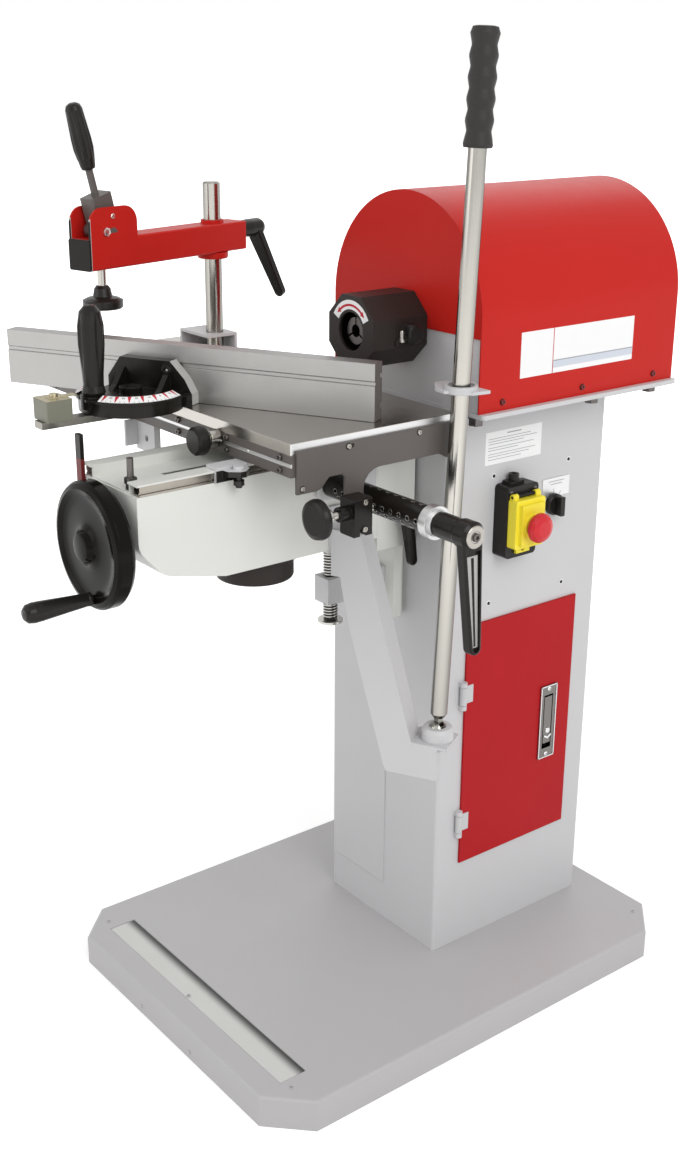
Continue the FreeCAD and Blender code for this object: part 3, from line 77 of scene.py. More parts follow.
# bare metals: stretch is how fine the streaks are along x, y and z; a round bar's entry also says how dark the
# painted shade along its edges gets
metals = {
    "groundSteel": {"color": (0.44, 0.425, 0.39), "rough": 0.17, "stretch": (220, 220, 8), "depth": 0.02,
                    "edgeShade": 0.62},
    "railSteel": {"color": (0.30, 0.275, 0.24), "rough": 0.20, "stretch": (300, 8, 300), "depth": 0.03},
    "barSteel": {"color": (0.25, 0.24, 0.215), "rough": 0.28, "stretch": (300, 8, 300), "depth": 0.03},
    "darkSteel": {"color": (0.13, 0.12, 0.115), "rough": 0.34, "stretch": (200, 200, 200), "depth": 0.06},
    "darkChrome": {"color": (0.20, 0.19, 0.18), "rough": 0.14, "stretch": (90, 90, 90), "depth": 0.02},
    "aluminium": {"color": (0.60, 0.60, 0.60), "rough": 0.36, "stretch": (16, 500, 500), "depth": 0.05},
    "fenceAlloy": {"color": (0.36, 0.355, 0.345), "rough": 0.40, "stretch": (16, 500, 500), "depth": 0.05},
    "brightZinc": {"color": (0.66, 0.65, 0.62), "rough": 0.24, "stretch": (120, 120, 120), "depth": 0.04},
    "screwSteel": {"color": (0.38, 0.36, 0.33), "rough": 0.26, "stretch": (120, 120, 120), "depth": 0.04},
    "brass": {"color": (0.46, 0.41, 0.28), "rough": 0.34, "stretch": (60, 60, 60), "depth": 0.04},
    "chrome": {"color": (0.74, 0.74, 0.75), "rough": 0.14, "stretch": (90, 90, 90), "depth": 0.02},
    "tableIron": {"color": (0.45, 0.425, 0.395), "rough": 0.24, "stretch": (6, 380, 380), "depth": 0.04},
}


def newGroup(name, inputs, outputs):
    group = bpy.data.node_groups.new(name, "ShaderNodeTree")
    for label, kind, value in inputs:
        socket = group.interface.new_socket(label, in_out="INPUT", socket_type="NodeSocket" + kind)
        if value is not None:
            socket.default_value = value
    for label, kind in outputs:
        group.interface.new_socket(label, in_out="OUTPUT", socket_type="NodeSocket" + kind)
    return group, group.nodes.new("NodeGroupInput").outputs, group.nodes.new("NodeGroupOutput").inputs


def feed(tree, inputs, values):
    # sets each input to its value, or links it where the value is another node's output
    for key, value in values.items():
        if isinstance(value, bpy.types.NodeSocket):
            tree.links.new(value, inputs[key])
        else:
            inputs[key].default_value = value


def addNode(tree, kind, values=None, **settings):
    node = tree.nodes.new("ShaderNode" + kind)
    for key, value in settings.items():
        setattr(node, key, value)
    feed(tree, node.inputs, values or {})
    return node


def maths(tree, operation, *values):
    return addNode(tree, "Math", dict(enumerate(values)), operation=operation).outputs[0]


def ramp(tree, value, low, high, first=0.0, last=1.0, **settings):
    # goes from first to last while the value goes from low to high
    node = addNode(tree, "MapRange", {"Value": value, "From Min": low, "From Max": high, "To Min": first,
                                      "To Max": last}, **settings)
    return node.outputs["Result"]


def mixed(tree, factor, first, second, kind="RGBA"):
    node = addNode(tree, "Mix", {"Factor": factor, "A": first, "B": second}, data_type=kind)
    return node.outputs["Result"]


def noise(tree, place, scale, detail, rough=0.5):
    node = addNode(tree, "TexNoise", {"Vector": place, "Scale": scale, "Detail": detail, "Roughness": rough})
    return node.outputs["Fac"]


def makeMottle():
    # slow colour drift, uneven gloss and fine relief, shared by paint, plastic and metal
    group, start, end = newGroup("mottle", [
        ("Vector", "Vector", None), ("Color", "Color", (0.5, 0.5, 0.5, 1)), ("Drift", "Float", 0.06),
        ("Rough", "Float", 0.4), ("Rough Range", "Float", 0.08), ("Fine Scale", "Float", 800.0)],
        [("Color", "Color"), ("Rough", "Float"), ("Height", "Float")])
    low, high = 0.3, 0.7
    slow = ramp(group, noise(group, start["Vector"], 7.0, 4.0, 0.6), low, high, -1.0)
    smear = ramp(group, noise(group, start["Vector"], 38.0, 5.0, 0.65), low, high, -0.5, 0.5)
    level = maths(group, "MULTIPLY_ADD", slow, start["Drift"], 1.0)
    tint = addNode(group, "VectorMath", {0: start["Color"], "Scale": level}, operation="SCALE")
    feed(group, end, {"Color": tint.outputs[0],
                      "Rough": maths(group, "MULTIPLY_ADD", smear, start["Rough Range"], start["Rough"]),
                      "Height": noise(group, start["Vector"], start["Fine Scale"], 2.0)})
    return group


def makeSoftEdge():
    # rounded edge normal and a mask that is 1 along sharp edges
    group, start, end = newGroup("softEdge", [("Radius", "Float", 0.001)],
                                 [("Normal", "Vector"), ("Edge", "Float")])
    bevel = addNode(group, "Bevel", {"Radius": start["Radius"]}, samples=5).outputs[0]
    normal = addNode(group, "NewGeometry").outputs["Normal"]
    dot = addNode(group, "VectorMath", {0: bevel, 1: normal}, operation="DOT_PRODUCT")
    feed(group, end, {"Normal": bevel, "Edge": ramp(group, dot.outputs["Value"], 0.995, 0.86)})
    return group


def makeSlab():
    # 1 between two distances along a direction, with edges a fifth of a millimetre soft
    soft = 0.0001
    group, start, end = newGroup("slab", [
        ("Vector", "Vector", None), ("Direction", "Vector", (1, 0, 0)), ("From", "Float", 0.0),
        ("To", "Float", 1.0)], [("Mask", "Float")])
    along = addNode(group, "VectorMath", {0: start["Vector"], 1: start["Direction"]}, operation="DOT_PRODUCT")
    ends = [ramp(group, maths(group, "SUBTRACT", along.outputs["Value"], start[name]), -reach, reach)
            for name, reach in (("From", soft), ("To", -soft))]
    feed(group, end, {"Mask": maths(group, "MULTIPLY", *ends)})
    return group


mottle = makeMottle()
softEdge = makeSoftEdge()
slab = makeSlab()
materials = {}
edgeRadius = {"coat": 0.0012, "print": 0.00003, "metal": 0.0006}
thinPrints = ("whiteVinyl", "paleVinyl", "redVinyl", "greyPrint")
bareMetal = {"scale": 700, "skin": 0.08, "gloss": 0.3}
coatDepth, streakDepth = 0.0006, 0.0004
zoneDrift = 0.03


def startMaterial(name):
    material = bpy.data.materials.new(name)
    material.use_nodes = True
    materials[name] = material
    tree = material.node_tree
    return tree, tree.nodes["Principled BSDF"].inputs, addNode(tree, "TexCoord").outputs["Object"]


def finishRelief(tree, shader, height, strength, distance, radius):
    # fine relief over a rounded edge; gives back the mask of the edges
    edge = addNode(tree, "Group", {"Radius": radius}, node_tree=softEdge).outputs
    bump = addNode(tree, "Bump", {"Strength": strength, "Distance": distance, "Height": height,
                                  "Normal": edge["Normal"]})
    feed(tree, shader, {"Normal": bump.outputs["Normal"]})
    return edge["Edge"]


def layered(tree, coords, color, rough, scale, drift):
    values = {"Vector": coords, "Color": (*color, 1), "Rough": rough, "Rough Range": 0.05, "Fine Scale": scale,
              "Drift": drift}
    return addNode(tree, "Group", values, node_tree=mottle).outputs


def coated(name, look, edgeHighlight):
    # paint or plastic: even colour with a slow drift, a fine skin and a painted highlight that makes its edges
    # lighter
    tree, shader, coords = startMaterial(name)
    base = layered(tree, coords, look["color"], look["rough"], look["scale"], drift=0.010)
    radius = edgeRadius["print" if name in thinPrints else "coat"]
    edge = finishRelief(tree, shader, base["Height"], look["skin"], coatDepth, radius)
    # painted highlight: the edge mask mixes in a lighter copy of the colour along sharp edges
    highlightColor = (*[min(1, c * 1.5 + 0.12) for c in look["color"]], 1)
    feed(tree, shader, {"Base Color": mixed(tree, maths(tree, "MULTIPLY", edge, edgeHighlight), base["Color"], highlightColor),
                        "Roughness": base["Rough"], "Specular IOR Level": look["gloss"]})


def brushed(name, look):
    # bare metal with drawn or turned streaks along its stretch
    tree, shader, coords = startMaterial(name)
    mapping = addNode(tree, "Mapping", {"Vector": coords, "Scale": look["stretch"]})
    streak = noise(tree, mapping.outputs["Vector"], 1.0, 4.0, 0.7)
    rough = ramp(tree, streak, 0.25, 0.75, look["rough"] - 0.03, look["rough"] + 0.05)
    base = layered(tree, coords, look["color"], rough, bareMetal["scale"], drift=0.03)
    color = base["Color"]
    if "edgeShade" in look:
        # painted shade: round bars go darker towards their edges, where they turn away from the camera
        facing = addNode(tree, "LayerWeight", {"Blend": 0.5}).outputs["Facing"]
        color = mixed(tree, ramp(tree, facing, 0.06, 0.62, 0.0, look["edgeShade"]), color, (0.02, 0.019, 0.017, 1))
    feed(tree, shader, {"Base Color": color, "Roughness": base["Rough"], "Metallic": 1.0})
    finishRelief(tree, shader, streak, look["depth"], streakDepth, edgeRadius["metal"])


for name, look in paints.items():
    coated(name, look, edgeHighlight=0.08)
for name, look in plastics.items():
    coated(name, look, edgeHighlight=0.05)
for name, look in metals.items():
    brushed(name, look)
finishes = {**paints, **plastics, **{name: {**bareMetal, **look} for name, look in metals.items()}}


def zoned(name, ground, zones):
    # one node with several finishes: each zone is a finish and slabs (direction, from, to) in millimetres
    tree, shader, coords = startMaterial(name)
    look = finishes[ground]
    base = layered(tree, coords, look["color"], look["rough"], look["scale"], zoneDrift)
    finishRelief(tree, shader, base["Height"], look["skin"], coatDepth, edgeRadius["coat"])
    color, rough, metallic = base["Color"], base["Rough"], float(ground in metals)
    for finish, slabs in zones:
        over = finishes[finish]
        layer = layered(tree, coords, over["color"], over["rough"], over["scale"], zoneDrift)
        mask = 1.0
        for direction, low, high in slabs:
            part = addNode(tree, "Group", {"Vector": coords, "Direction": direction, "From": low * mm,
                                           "To": high * mm}, node_tree=slab)
            mask = maths(tree, "MULTIPLY", mask, part.outputs["Mask"])
        color = mixed(tree, mask, color, layer["Color"])
        rough = mixed(tree, mask, rough, layer["Rough"], "FLOAT")
        metallic = mixed(tree, mask, metallic, float(finish in metals), "FLOAT")
    feed(tree, shader, {"Base Color": color, "Roughness": rough, "Metallic": metallic,
                        "Specular IOR Level": look["gloss"]})
    return materials[name]


nodeLooks = {
    "greyPaint": "column_shell control_panel head_plate head_front_plate nut_bracket lever_arm "
                 "front_bracket lever_ring_bracket post_bracket",
    "baseGrey": "base_plinth",
    "creamPaint": "knee_shell knee_slide vertical_way",
    "redPaint": "hood arm_sleeve",
    "blackPaint": "height_lock_lever index_block tube_clamp_lever sleeve_clamp_lever mitre_head",
    "guardPlastic": "chuck_guard dust_spigot",
    "darkPaint": "table_rail_back",
    "motorPaint": "motor",
    "blackPlastic": "switch_box selector_knob guard_knob crank_handle mitre_handle toggle_grip",
    "yellowPlastic": "switch_cover",
    "redPlastic": "stop_button",
    "gripRubber": "lever_grip",
    "groundSteel": "ball_knuckle lever_rod clamp_post",
    "railSteel": "knee_rail_left knee_rail_right",
    "barSteel": "mitre_bar",
    "darkSteel": "lead_screw drill_chuck stop_screw",
    "darkChrome": "door_latch latch_pull",
}
for look, names in nodeLooks.items():
    for name in names.split():
        nodes[name].data.materials.clear()
        nodes[name].data.materials.append(materials[look])

# nodes that carry more than one finish, in slabs along a direction (millimetres from the origin)
gaugeRoot = (-107, -307)
fenceLength = 304
xWay, yWay, zWay = (1, 0, 0), (0, 1, 0), (0, 0, 1)
clampTurn = math.radians(14)
clampAlong = (math.sin(clampTurn), -math.cos(clampTurn), 0)
clampAcross = (math.cos(clampTurn), math.sin(clampTurn), 0)
mitreTurn = math.radians(28.4)
clampRoot = (-347, -26)


def alongClamp(s):
    # distance from the origin, along the clamp arm, of a place s millimetres from its post
    return s + clampRoot[0] * clampAlong[0] + clampRoot[1] * clampAlong[1]


def acrossClamp(t):
    # the same for a place t millimetres to the arm's right
    return t + clampRoot[0] * clampAcross[0] + clampRoot[1] * clampAcross[1]


fenceAlong = (math.cos(mitreTurn), math.sin(mitreTurn), 0)
fenceEnd = fenceLength + gaugeRoot[0] * fenceAlong[0] + gaugeRoot[1] * fenceAlong[1]
zonedNodes = {
    # the door's ground colour is the red paint darkened as painted shade
    "side_door": ("shadedDoorRed", [("greyPaint", [(yWay, 40, 61.8)]),
                              ("greyPaint", [(yWay, 40, 77), (xWay, 121.4, 140)])]),
    "handwheel": ("wheelBlack", [("groundSteel", [(yWay, -400, 0)])]),
    "index_tube": ("blackPaint", [("aluminium", [(xWay, 254.6, 400)])]),
    "clamp_arm": ("redPaint", [("castEdge", [(clampAlong, alongClamp(250.2), alongClamp(251.2))]),
                               ("blackPlastic", [(clampAlong, alongClamp(251.2), alongClamp(400))])]),
    "clamp_plunger": ("groundSteel", [("blackPlastic", [(zWay, 900, 971.2)])]),
    "index_plunger": ("blackPlastic", [("groundSteel", [(yWay, -221, 0)])]),
    "table_stop_knob": ("blackPlastic", [("groundSteel", [(yWay, -274.6, 0)])]),
    "table_rail_front": ("darkPaint", [("aluminium", [(zWay, 823.8, 828.2), (yWay, -260, -254)])]),
    "end_plate": ("darkPaint", []),
    "pointer_block": ("olivePaint", [("brass", [(zWay, 877.9, 900)]), ("blackPaint", [(xWay, -140, -125.6)])]),
    "foot_cup": ("greyPaint", [("groundSteel", [(zWay, 452, 480)])]),
    "table_top": ("tableIron", [("aluminium", [(xWay, 156.4, 200), (zWay, 840, 851.3)])]),
    "fence": ("fenceAlloy", [("darkPaint", [(fenceAlong, fenceEnd - 0.2, fenceEnd + 40)])]),
    "toggle_lever": ("darkPaint", [("brightZinc", [(clampAcross, acrossClamp(13.2), acrossClamp(40))]),
                                   ("brightZinc", [(clampAcross, acrossClamp(-40), acrossClamp(-13.2))])]),
    "saddle": ("greyPaint", [("blackPaint", [(xWay, 67.2, 95), (yWay, -300, -250), (zWay, 785, 807.1)])]),
    "stop_post": ("blackPaint", [("postRed", [(zWay, 740, 812)])]),
}
for name, (ground, zones) in zonedNodes.items():
    nodes[name].data.materials.clear()
    nodes[name].data.materials.append(zoned(name + "Finish", ground, zones))
print("stage: materials on the CAD nodes")

# recessed plate at the front of the base: pale, with a soft band of painted shadow along its back edge, where
# the recess shades it
plateShadowBand = {"pale": (0.62, 0.62, 0.60), "dark": (0.03, 0.03, 0.028), "from": -0.299, "to": -0.2825}
tree, shader, coords = startMaterial("shadowedPlate")
base = layered(tree, coords, plateShadowBand["pale"], rough=0.35, scale=900, drift=0.03)
# painted shadow: the plate's colour turns dark towards its back edge
depth = addNode(tree, "SeparateXYZ", {0: coords}).outputs["Y"]
fade = ramp(tree, depth, plateShadowBand["from"], plateShadowBand["to"], interpolation_type="SMOOTHSTEP")
feed(tree, shader, {"Base Color": mixed(tree, fade, base["Color"], (*plateShadowBand["dark"], 1)),
                    "Roughness": base["Rough"]})

# screw thread: bright crests over dark roots, told apart by the distance from the screw's axis
threadLook = {"root": (0.05, 0.047, 0.045), "crest": (0.55, 0.54, 0.51), "inner": 0.0088, "outer": 0.0098}
screwY = -78
tree, shader, coords = startMaterial("threadSteel")
offset = addNode(tree, "VectorMath", {0: coords, 1: (0, -screwY * mm, 0)}, operation="ADD")
flat = addNode(tree, "VectorMath", {0: offset.outputs[0], 1: (1, 1, 0)}, operation="MULTIPLY")
reach = addNode(tree, "VectorMath", {0: flat.outputs[0]}, operation="LENGTH")
fade = ramp(tree, reach.outputs["Value"], threadLook["inner"], threadLook["outer"])
feed(tree, shader, {"Base Color": mixed(tree, fade, (*threadLook["root"], 1), (*threadLook["crest"], 1)),
                    "Metallic": 1.0, "Roughness": 0.3})

sides = {
    "right": ((0, 1, 0), (0, 0, 1)), "left": ((0, -1, 0), (0, 0, 1)), "front": ((1, 0, 0), (0, 0, 1)),
    "back": ((-1, 0, 0), (0, 0, 1)), "top": ((1, 0, 0), (0, 1, 0)), "under": ((1, 0, 0), (0, -1, 0)),
}


def laid(at, across, up):
    # draws local x along across, local y along up and local z out of the surface
    across, up = Vector(across).normalized(), Vector(up).normalized()
    turn = Matrix((across, up, across.cross(up))).transposed().to_4x4()
    return Matrix.Translation(at) @ turn


def turned(angle, axis="Z"):
    return Matrix.Rotation(math.radians(angle), 4, axis)


def lifted(place, height):
    return place @ Matrix.Translation((0, 0, height))


def on(side, at, roll=0):
    return laid(at, *sides[side]) @ turned(roll)


def standing(at, toward):
    # draws local z along any direction
    return Matrix.Translation(at) @ Vector(toward).to_track_quat("Z", "Y").to_matrix().to_4x4()


def pour(target, part, matrix, look=0):
    # adds one shape, drawn in millimetres, to a piece, with its place and its finish
    bmesh.ops.transform(part, matrix=Matrix.Scale(mm, 4) @ matrix, verts=part.verts)
    for face in part.faces:
        face.material_index = look
    shape = bpy.data.meshes.new("shape")
    part.to_mesh(shape)
    part.free()
    target.from_mesh(shape)
    bpy.data.meshes.remove(shape)


def finishPiece(name, body, piece, looks, sharp=32, hides=()):
    # the sharp angle is the one, in degrees, from which an edge isn't smoothed
    data = bpy.data.meshes.new(name)
    piece.to_mesh(data)
    piece.free()
    for look in looks:
        data.materials.append(materials[look])
    for face in data.polygons:
        face.use_smooth = True
    data.set_sharp_from_angle(angle=math.radians(sharp))
    made = bpy.data.objects.new(name, data)
    bpy.context.collection.objects.link(made)
    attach(made, body)
    if hides:
        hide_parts(*hides)


def rounded(part, edges, offset, steps=2):
    bmesh.ops.bevel(part, geom=edges, offset=offset, segments=steps, affect="EDGES", profile=0.5, material=-1)


def thicken(part, faces, thick):
    # pulls flat faces out of the surface into a solid
    grown = bmesh.ops.extrude_face_region(part, geom=faces, use_keep_orig=True)
    raised = [item for item in grown["geom"] if isinstance(item, bmesh.types.BMVert)]
    bmesh.ops.translate(part, vec=(0, 0, thick), verts=raised)
    bmesh.ops.recalc_face_normals(part, faces=part.faces)


def lathed(profile, steps=28):
    # turned shape from radius and height pairs
    part = bmesh.new()
    points = [part.verts.new((radius, 0, height)) for radius, height in profile]
    edges = [part.edges.new(pair) for pair in zip(points, points[1:])]
    bmesh.ops.spin(part, geom=points + edges, cent=(0, 0, 0), axis=(0, 0, 1), angle=math.tau, steps=steps,
                   use_merge=True)
    bmesh.ops.remove_doubles(part, verts=part.verts, dist=0.001)
    bmesh.ops.recalc_face_normals(part, faces=part.faces)
    return part


def ring(inner, outer, thick, steps=28):
    return lathed([(inner, 0), (outer, 0), (outer, thick), (inner, thick), (inner, 0)], steps)


def sheet(outline, thick, edge=0.0):
    # flat outline pulled out of the surface, with its outer rim rounded
    part = bmesh.new()
    face = part.faces.new([part.verts.new((x, y, 0)) for x, y in outline])
    thicken(part, [face], thick)
    if edge:
        rounded(part, [line for line in part.edges if all(v.co.z > thick - 0.001 for v in line.verts)], edge)
    return part


def card(width, height, thick, corner=0.0, x=0.0, y=0.0):
    # rectangle centred on x and y, with round corners where a corner radius is given
    part = bmesh.new()
    bmesh.ops.create_cube(part, size=1, matrix=Matrix.Translation((x, y, thick / 2))
                          @ Matrix.Diagonal((width, height, thick, 1)))
    if corner:
        upright = [line for line in part.edges if abs(line.verts[0].co.z - line.verts[1].co.z) > thick / 2]
        rounded(part, upright, corner, 4)
    return part


def extent(ends):
    # size and middle between two ends
    return ends[1] - ends[0], (ends[0] + ends[1]) / 2


def band(inner, outer, start, stop, thick, steps=24):
    # flat arc between two angles in degrees
    part = bmesh.new()
    x, y = math.cos(math.radians(start)), math.sin(math.radians(start))
    points = [part.verts.new((radius * x, radius * y, 0)) for radius in (inner, outer)]
    line = part.edges.new(points)
    bmesh.ops.spin(part, geom=points + [line], cent=(0, 0, 0), axis=(0, 0, 1),
                   angle=math.radians(stop - start), steps=steps)
    thicken(part, part.faces[:], thick)
    return part


def prism(count, radius, height):
    part = bmesh.new()
    bmesh.ops.create_cone(part, cap_ends=True, segments=count, radius1=radius, radius2=radius, depth=height,
                          matrix=Matrix.Translation((0, 0, height / 2)))
    return part


def socketScrew(radius, height, socket, depth):
    # round head with a chamfered rim and a six-sided socket
    part = prism(24, radius, height)
    chamfer, land = radius * 0.14, radius * 0.2
    top = max(part.faces, key=lambda face: face.calc_center_median().z)
    rounded(part, list(top.edges), chamfer)
    top = max(part.faces, key=lambda face: face.calc_center_median().z + face.calc_area() * 0.001)
    bmesh.ops.inset_individual(part, faces=[top], thickness=land, depth=0)
    for vertex in top.verts:
        angle = math.atan2(vertex.co.y, vertex.co.x)
        reach = socket / math.cos((angle + math.pi / 6) % (math.pi / 3) - math.pi / 6)
        vertex.co.x = reach * math.cos(angle)
        vertex.co.y = reach * math.sin(angle)
    bmesh.ops.inset_individual(part, faces=[top], thickness=0.02, depth=-depth)
    return part


def panScrew(radius, height):
    return lathed([(0, 0), (radius, 0), (radius, height * 0.25), (radius * 0.86, height * 0.7),
                   (radius * 0.5, height * 0.95), (0, height)], 20)


def hexHead(across, height):
    part = prism(6, across / math.sqrt(3), height)
    rim = [line for line in part.edges if min(v.co.z for v in line.verts) > height - 0.001]
    rounded(part, rim, height * 0.12)
    return part


def crossMark(piece, matrix, reach, lift, look):
    # dark cross in place of a screw's recess, its darkness painted shade
    for turn in (0, 90):
        pour(piece, card(reach * 2, reach * 0.42, 0.12), lifted(matrix, lift) @ turned(turn), look)


# stand: fasteners
plinthScrews = {"tops": ((-233, -314, 45.0), (-8, -316, 44.6), (230, -315, 45.0), (226, 327, 45.0),
                         (-231, 326, 45.0)), "radius": 3.0, "height": 1.4,
                "rivets": ((-66.6, 12), (57.3, 12)), "rivetRadius": 2.8, "rivetHeight": 1.6}
piece = bmesh.new()
for at in plinthScrews["tops"]:
    pour(piece, panScrew(plinthScrews["radius"], plinthScrews["height"]), on("top", at), 0)
    crossMark(piece, on("top", at), 1.5, plinthScrews["height"] - 0.05, 1)
for x, z in plinthScrews["rivets"]:
    pour(piece, panScrew(plinthScrews["rivetRadius"], plinthScrews["rivetHeight"]),
         on("front", (x, plinth[0].y / mm, z)), 0)
finishPiece("plinthScrews", "stand", piece, ["castEdge", "darkSteel"])

panelScrews = {"x": 118, "places": ((101, 565), (241, 565), (101, 744), (241, 744)), "radius": 2.5,
               "height": 1.8, "washer": 3.7}
piece = bmesh.new()
for y, z in panelScrews["places"]:
    place = on("right", (panelScrews["x"], y, z), 20)
    pour(piece, ring(2, panelScrews["washer"], 0.5, 24), place, 1)
    pour(piece, panScrew(panelScrews["radius"], panelScrews["height"]), place, 0)
    crossMark(piece, place, 1.4, panelScrews["height"] - 0.08, 2)
finishPiece("panelScrews", "stand", piece, ["blackPaint", "whiteVinyl", "darkSteel"])

hoodScrews = {"right": 171, "left": -117, "y": (58.6, 201, 339), "z": 859, "radius": 3.4, "height": 2.6,
              "washer": 4.2}
piece = bmesh.new()
for side in ("right", "left"):
    for y in hoodScrews["y"]:
        place = on(side, (hoodScrews[side], y, hoodScrews["z"]), 12)
        pour(piece, ring(2, hoodScrews["washer"], 0.5, 24), place, 0)
        pour(piece, socketScrew(hoodScrews["radius"], hoodScrews["height"], 1.6, 1.4), lifted(place, 0.4), 1)
finishPiece("hoodScrews", "stand", piece, ["blackPaint", "postRed"])

headBolts = {"x": 155, "y": (30, 238, 352), "z": 842, "across": 17, "height": 10, "washer": 11, "thick": 1.6}
piece = bmesh.new()
for y in headBolts["y"]:
    place = on("under", (headBolts["x"], y, headBolts["z"]), 15)
    pour(piece, ring(4, headBolts["washer"], headBolts["thick"]), place, 0)
    pour(piece, hexHead(headBolts["across"], headBolts["height"]), lifted(place, headBolts["thick"]), 0)
finishPiece("headBolts", "stand", piece, ["darkSteel"])

# stand: plates and labels, all bare
plinthPlate = {"x": (-214, 214), "y": (-320.4, -281.6), "z": 43.85, "thick": 0.5, "corner": 0.8}
piece = bmesh.new()
(width, x), (depth, y) = extent(plinthPlate["x"]), extent(plinthPlate["y"])
pour(piece, card(width, depth, plinthPlate["thick"], plinthPlate["corner"]),
     on("top", (x, y, plinthPlate["z"])))
finishPiece("plinthPlate", "stand", piece, ["shadowedPlate"])

sheetLabel = {"x": 118, "y": (84, 186), "z": (760, 804), "thick": 0.25, "print": 0.08, "bars": (
    (0, 17.5, 26, 1.5), (-8, 12.5, 76, 0.8), (-2, 9.0, 88, 0.8), (-14, 5.5, 64, 0.8), (-5, 0.5, 82, 0.8),
    (-19, -3.0, 54, 0.8), (-3, -8.0, 86, 0.8), (-9, -11.5, 74, 0.8), (-16, -15.5, 60, 0.8))}
piece = bmesh.new()
(width, y), (height, z) = extent(sheetLabel["y"]), extent(sheetLabel["z"])
place = on("right", (sheetLabel["x"], y, z))
pour(piece, card(width, height, sheetLabel["thick"], 0.6), place, 0)
for x, y, width, height in sheetLabel["bars"]:
    pour(piece, card(width, height, sheetLabel["print"], 0, x, y), lifted(place, sheetLabel["thick"]), 1)
finishPiece("sheetLabel", "stand", piece, ["whiteVinyl", "greyPrint"])

hoodLabel = {"x": 171, "y": (87, 293.5), "z": (884.5, 942), "thick": 0.3, "divider": 144, "fieldWidth": 148.6,
             "fieldY": 219.0, "lineZ": 900.4, "bandZ": 895.4}
piece = bmesh.new()
place = on("right", (hoodLabel["x"], 0, 0))
(width, y), (height, z) = extent(hoodLabel["y"]), extent(hoodLabel["z"])
pour(piece, card(width, height, hoodLabel["thick"], 0.6, y, z), place, 0)
above = lifted(place, hoodLabel["thick"])
pour(piece, card(1.3, 57.3, 0.08, 0, hoodLabel["divider"], z), above, 1)
pour(piece, card(hoodLabel["fieldWidth"], 1.4, 0.08, 0, hoodLabel["fieldY"], hoodLabel["lineZ"]), above, 3)
pour(piece, card(hoodLabel["fieldWidth"], 8.6, 0.06, 0, hoodLabel["fieldY"], hoodLabel["bandZ"]), above, 2)
finishPiece("hoodLabel", "stand", piece, ["whiteVinyl", "redVinyl", "paleVinyl", "greyPrint"])

knobPlate = {"x": 118, "y": (193, 245), "z": (695, 722), "thick": 0.9, "print": 0.06,
             "lines": ((8.5, 30), (4.5, 22)), "marks": (50, 90, 130), "knob": (-4, -24, 0), "markReach": 19.5}
piece = bmesh.new()
(width, y), (height, z) = extent(knobPlate["y"]), extent(knobPlate["z"])
place = on("right", (knobPlate["x"], y, z))
pour(piece, card(width, height, knobPlate["thick"], 1.2), place, 0)
above = lifted(place, knobPlate["thick"])
for up, length in knobPlate["lines"]:
    pour(piece, card(length, 1.1, knobPlate["print"], 0, 0, up), above, 1)
for angle in knobPlate["marks"]:
    reach = Matrix.Translation(knobPlate["knob"]) @ turned(angle)
    pour(piece, card(5, 1.2, knobPlate["print"], 0, knobPlate["markReach"], 0), above @ reach, 1)
finishPiece("knobPlate", "stand", piece, ["aluminium", "greyPrint"])

# guard: turning arrow on its front face and the spring latch beside the mouth
guardArrow = {"place": (27, -68, 939), "inner": 27.5, "outer": 39, "from": 28, "to": 152, "thick": 0.25,
              "print": 0.08, "arrow": (31.2, 34.2), "ends": (50, 130), "tip": 7.5, "half": 3.6}
piece = bmesh.new()
place = on("front", guardArrow["place"])
pour(piece, band(guardArrow["inner"], guardArrow["outer"], guardArrow["from"], guardArrow["to"],
                 guardArrow["thick"]), place, 0)
above = lifted(place, guardArrow["thick"])
pour(piece, band(*guardArrow["arrow"], *guardArrow["ends"], guardArrow["print"]), above, 1)
half = guardArrow["half"]
for angle, tip in zip(guardArrow["ends"], (-guardArrow["tip"], guardArrow["tip"])):
    turn = turned(angle) @ Matrix.Translation((sum(guardArrow["arrow"]) / 2, 0, 0))
    pour(piece, sheet(((-half, 0), (half, 0), (0, tip)), guardArrow["print"]), above @ turn, 1)
finishPiece("guardArrow", "stand", piece, ["whiteVinyl", "redVinyl"])

guardLatch = {"place": (71.5, -26, 934.5), "peg": 4.6, "tall": 15}
piece = bmesh.new()
place = on("right", guardLatch["place"])
pour(piece, card(15, 8, 2.4, 1.6, 0, -7.5), place, 0)
pour(piece, card(9, 20, 1.2, 1.0), place, 0)
peg = place @ Matrix.Translation((0, -6, 4.4)) @ turned(-90, "X")
pour(piece, lathed([(0, 0), (guardLatch["peg"], 0), (guardLatch["peg"], 4), (3.6, 5), (3.6, 12), (2.8, 14.4),
                    (0, guardLatch["tall"])], 24), peg, 1)
finishPiece("guardLatch", "stand", piece, ["guardPlastic", "screwSteel"])

# handwheel: shallow dished face with a low cap over the hub
wheelFace = {"place": (0, -402, 725), "line": (
    (0, 43.6), (13, 43.4), (16.4, 42.3), (18.4, 39.4), (20, 35.6), (24, 33), (32, 31.6), (50, 30.8), (57, 31.4),
    (62, 33.1), (62, 29), (0, 29))}
piece = bmesh.new()
pour(piece, lathed(wheelFace["line"], 64), on("front", wheelFace["place"]), 0)
finishPiece("wheelFace", "handwheel", piece, ["wheelBlack"])

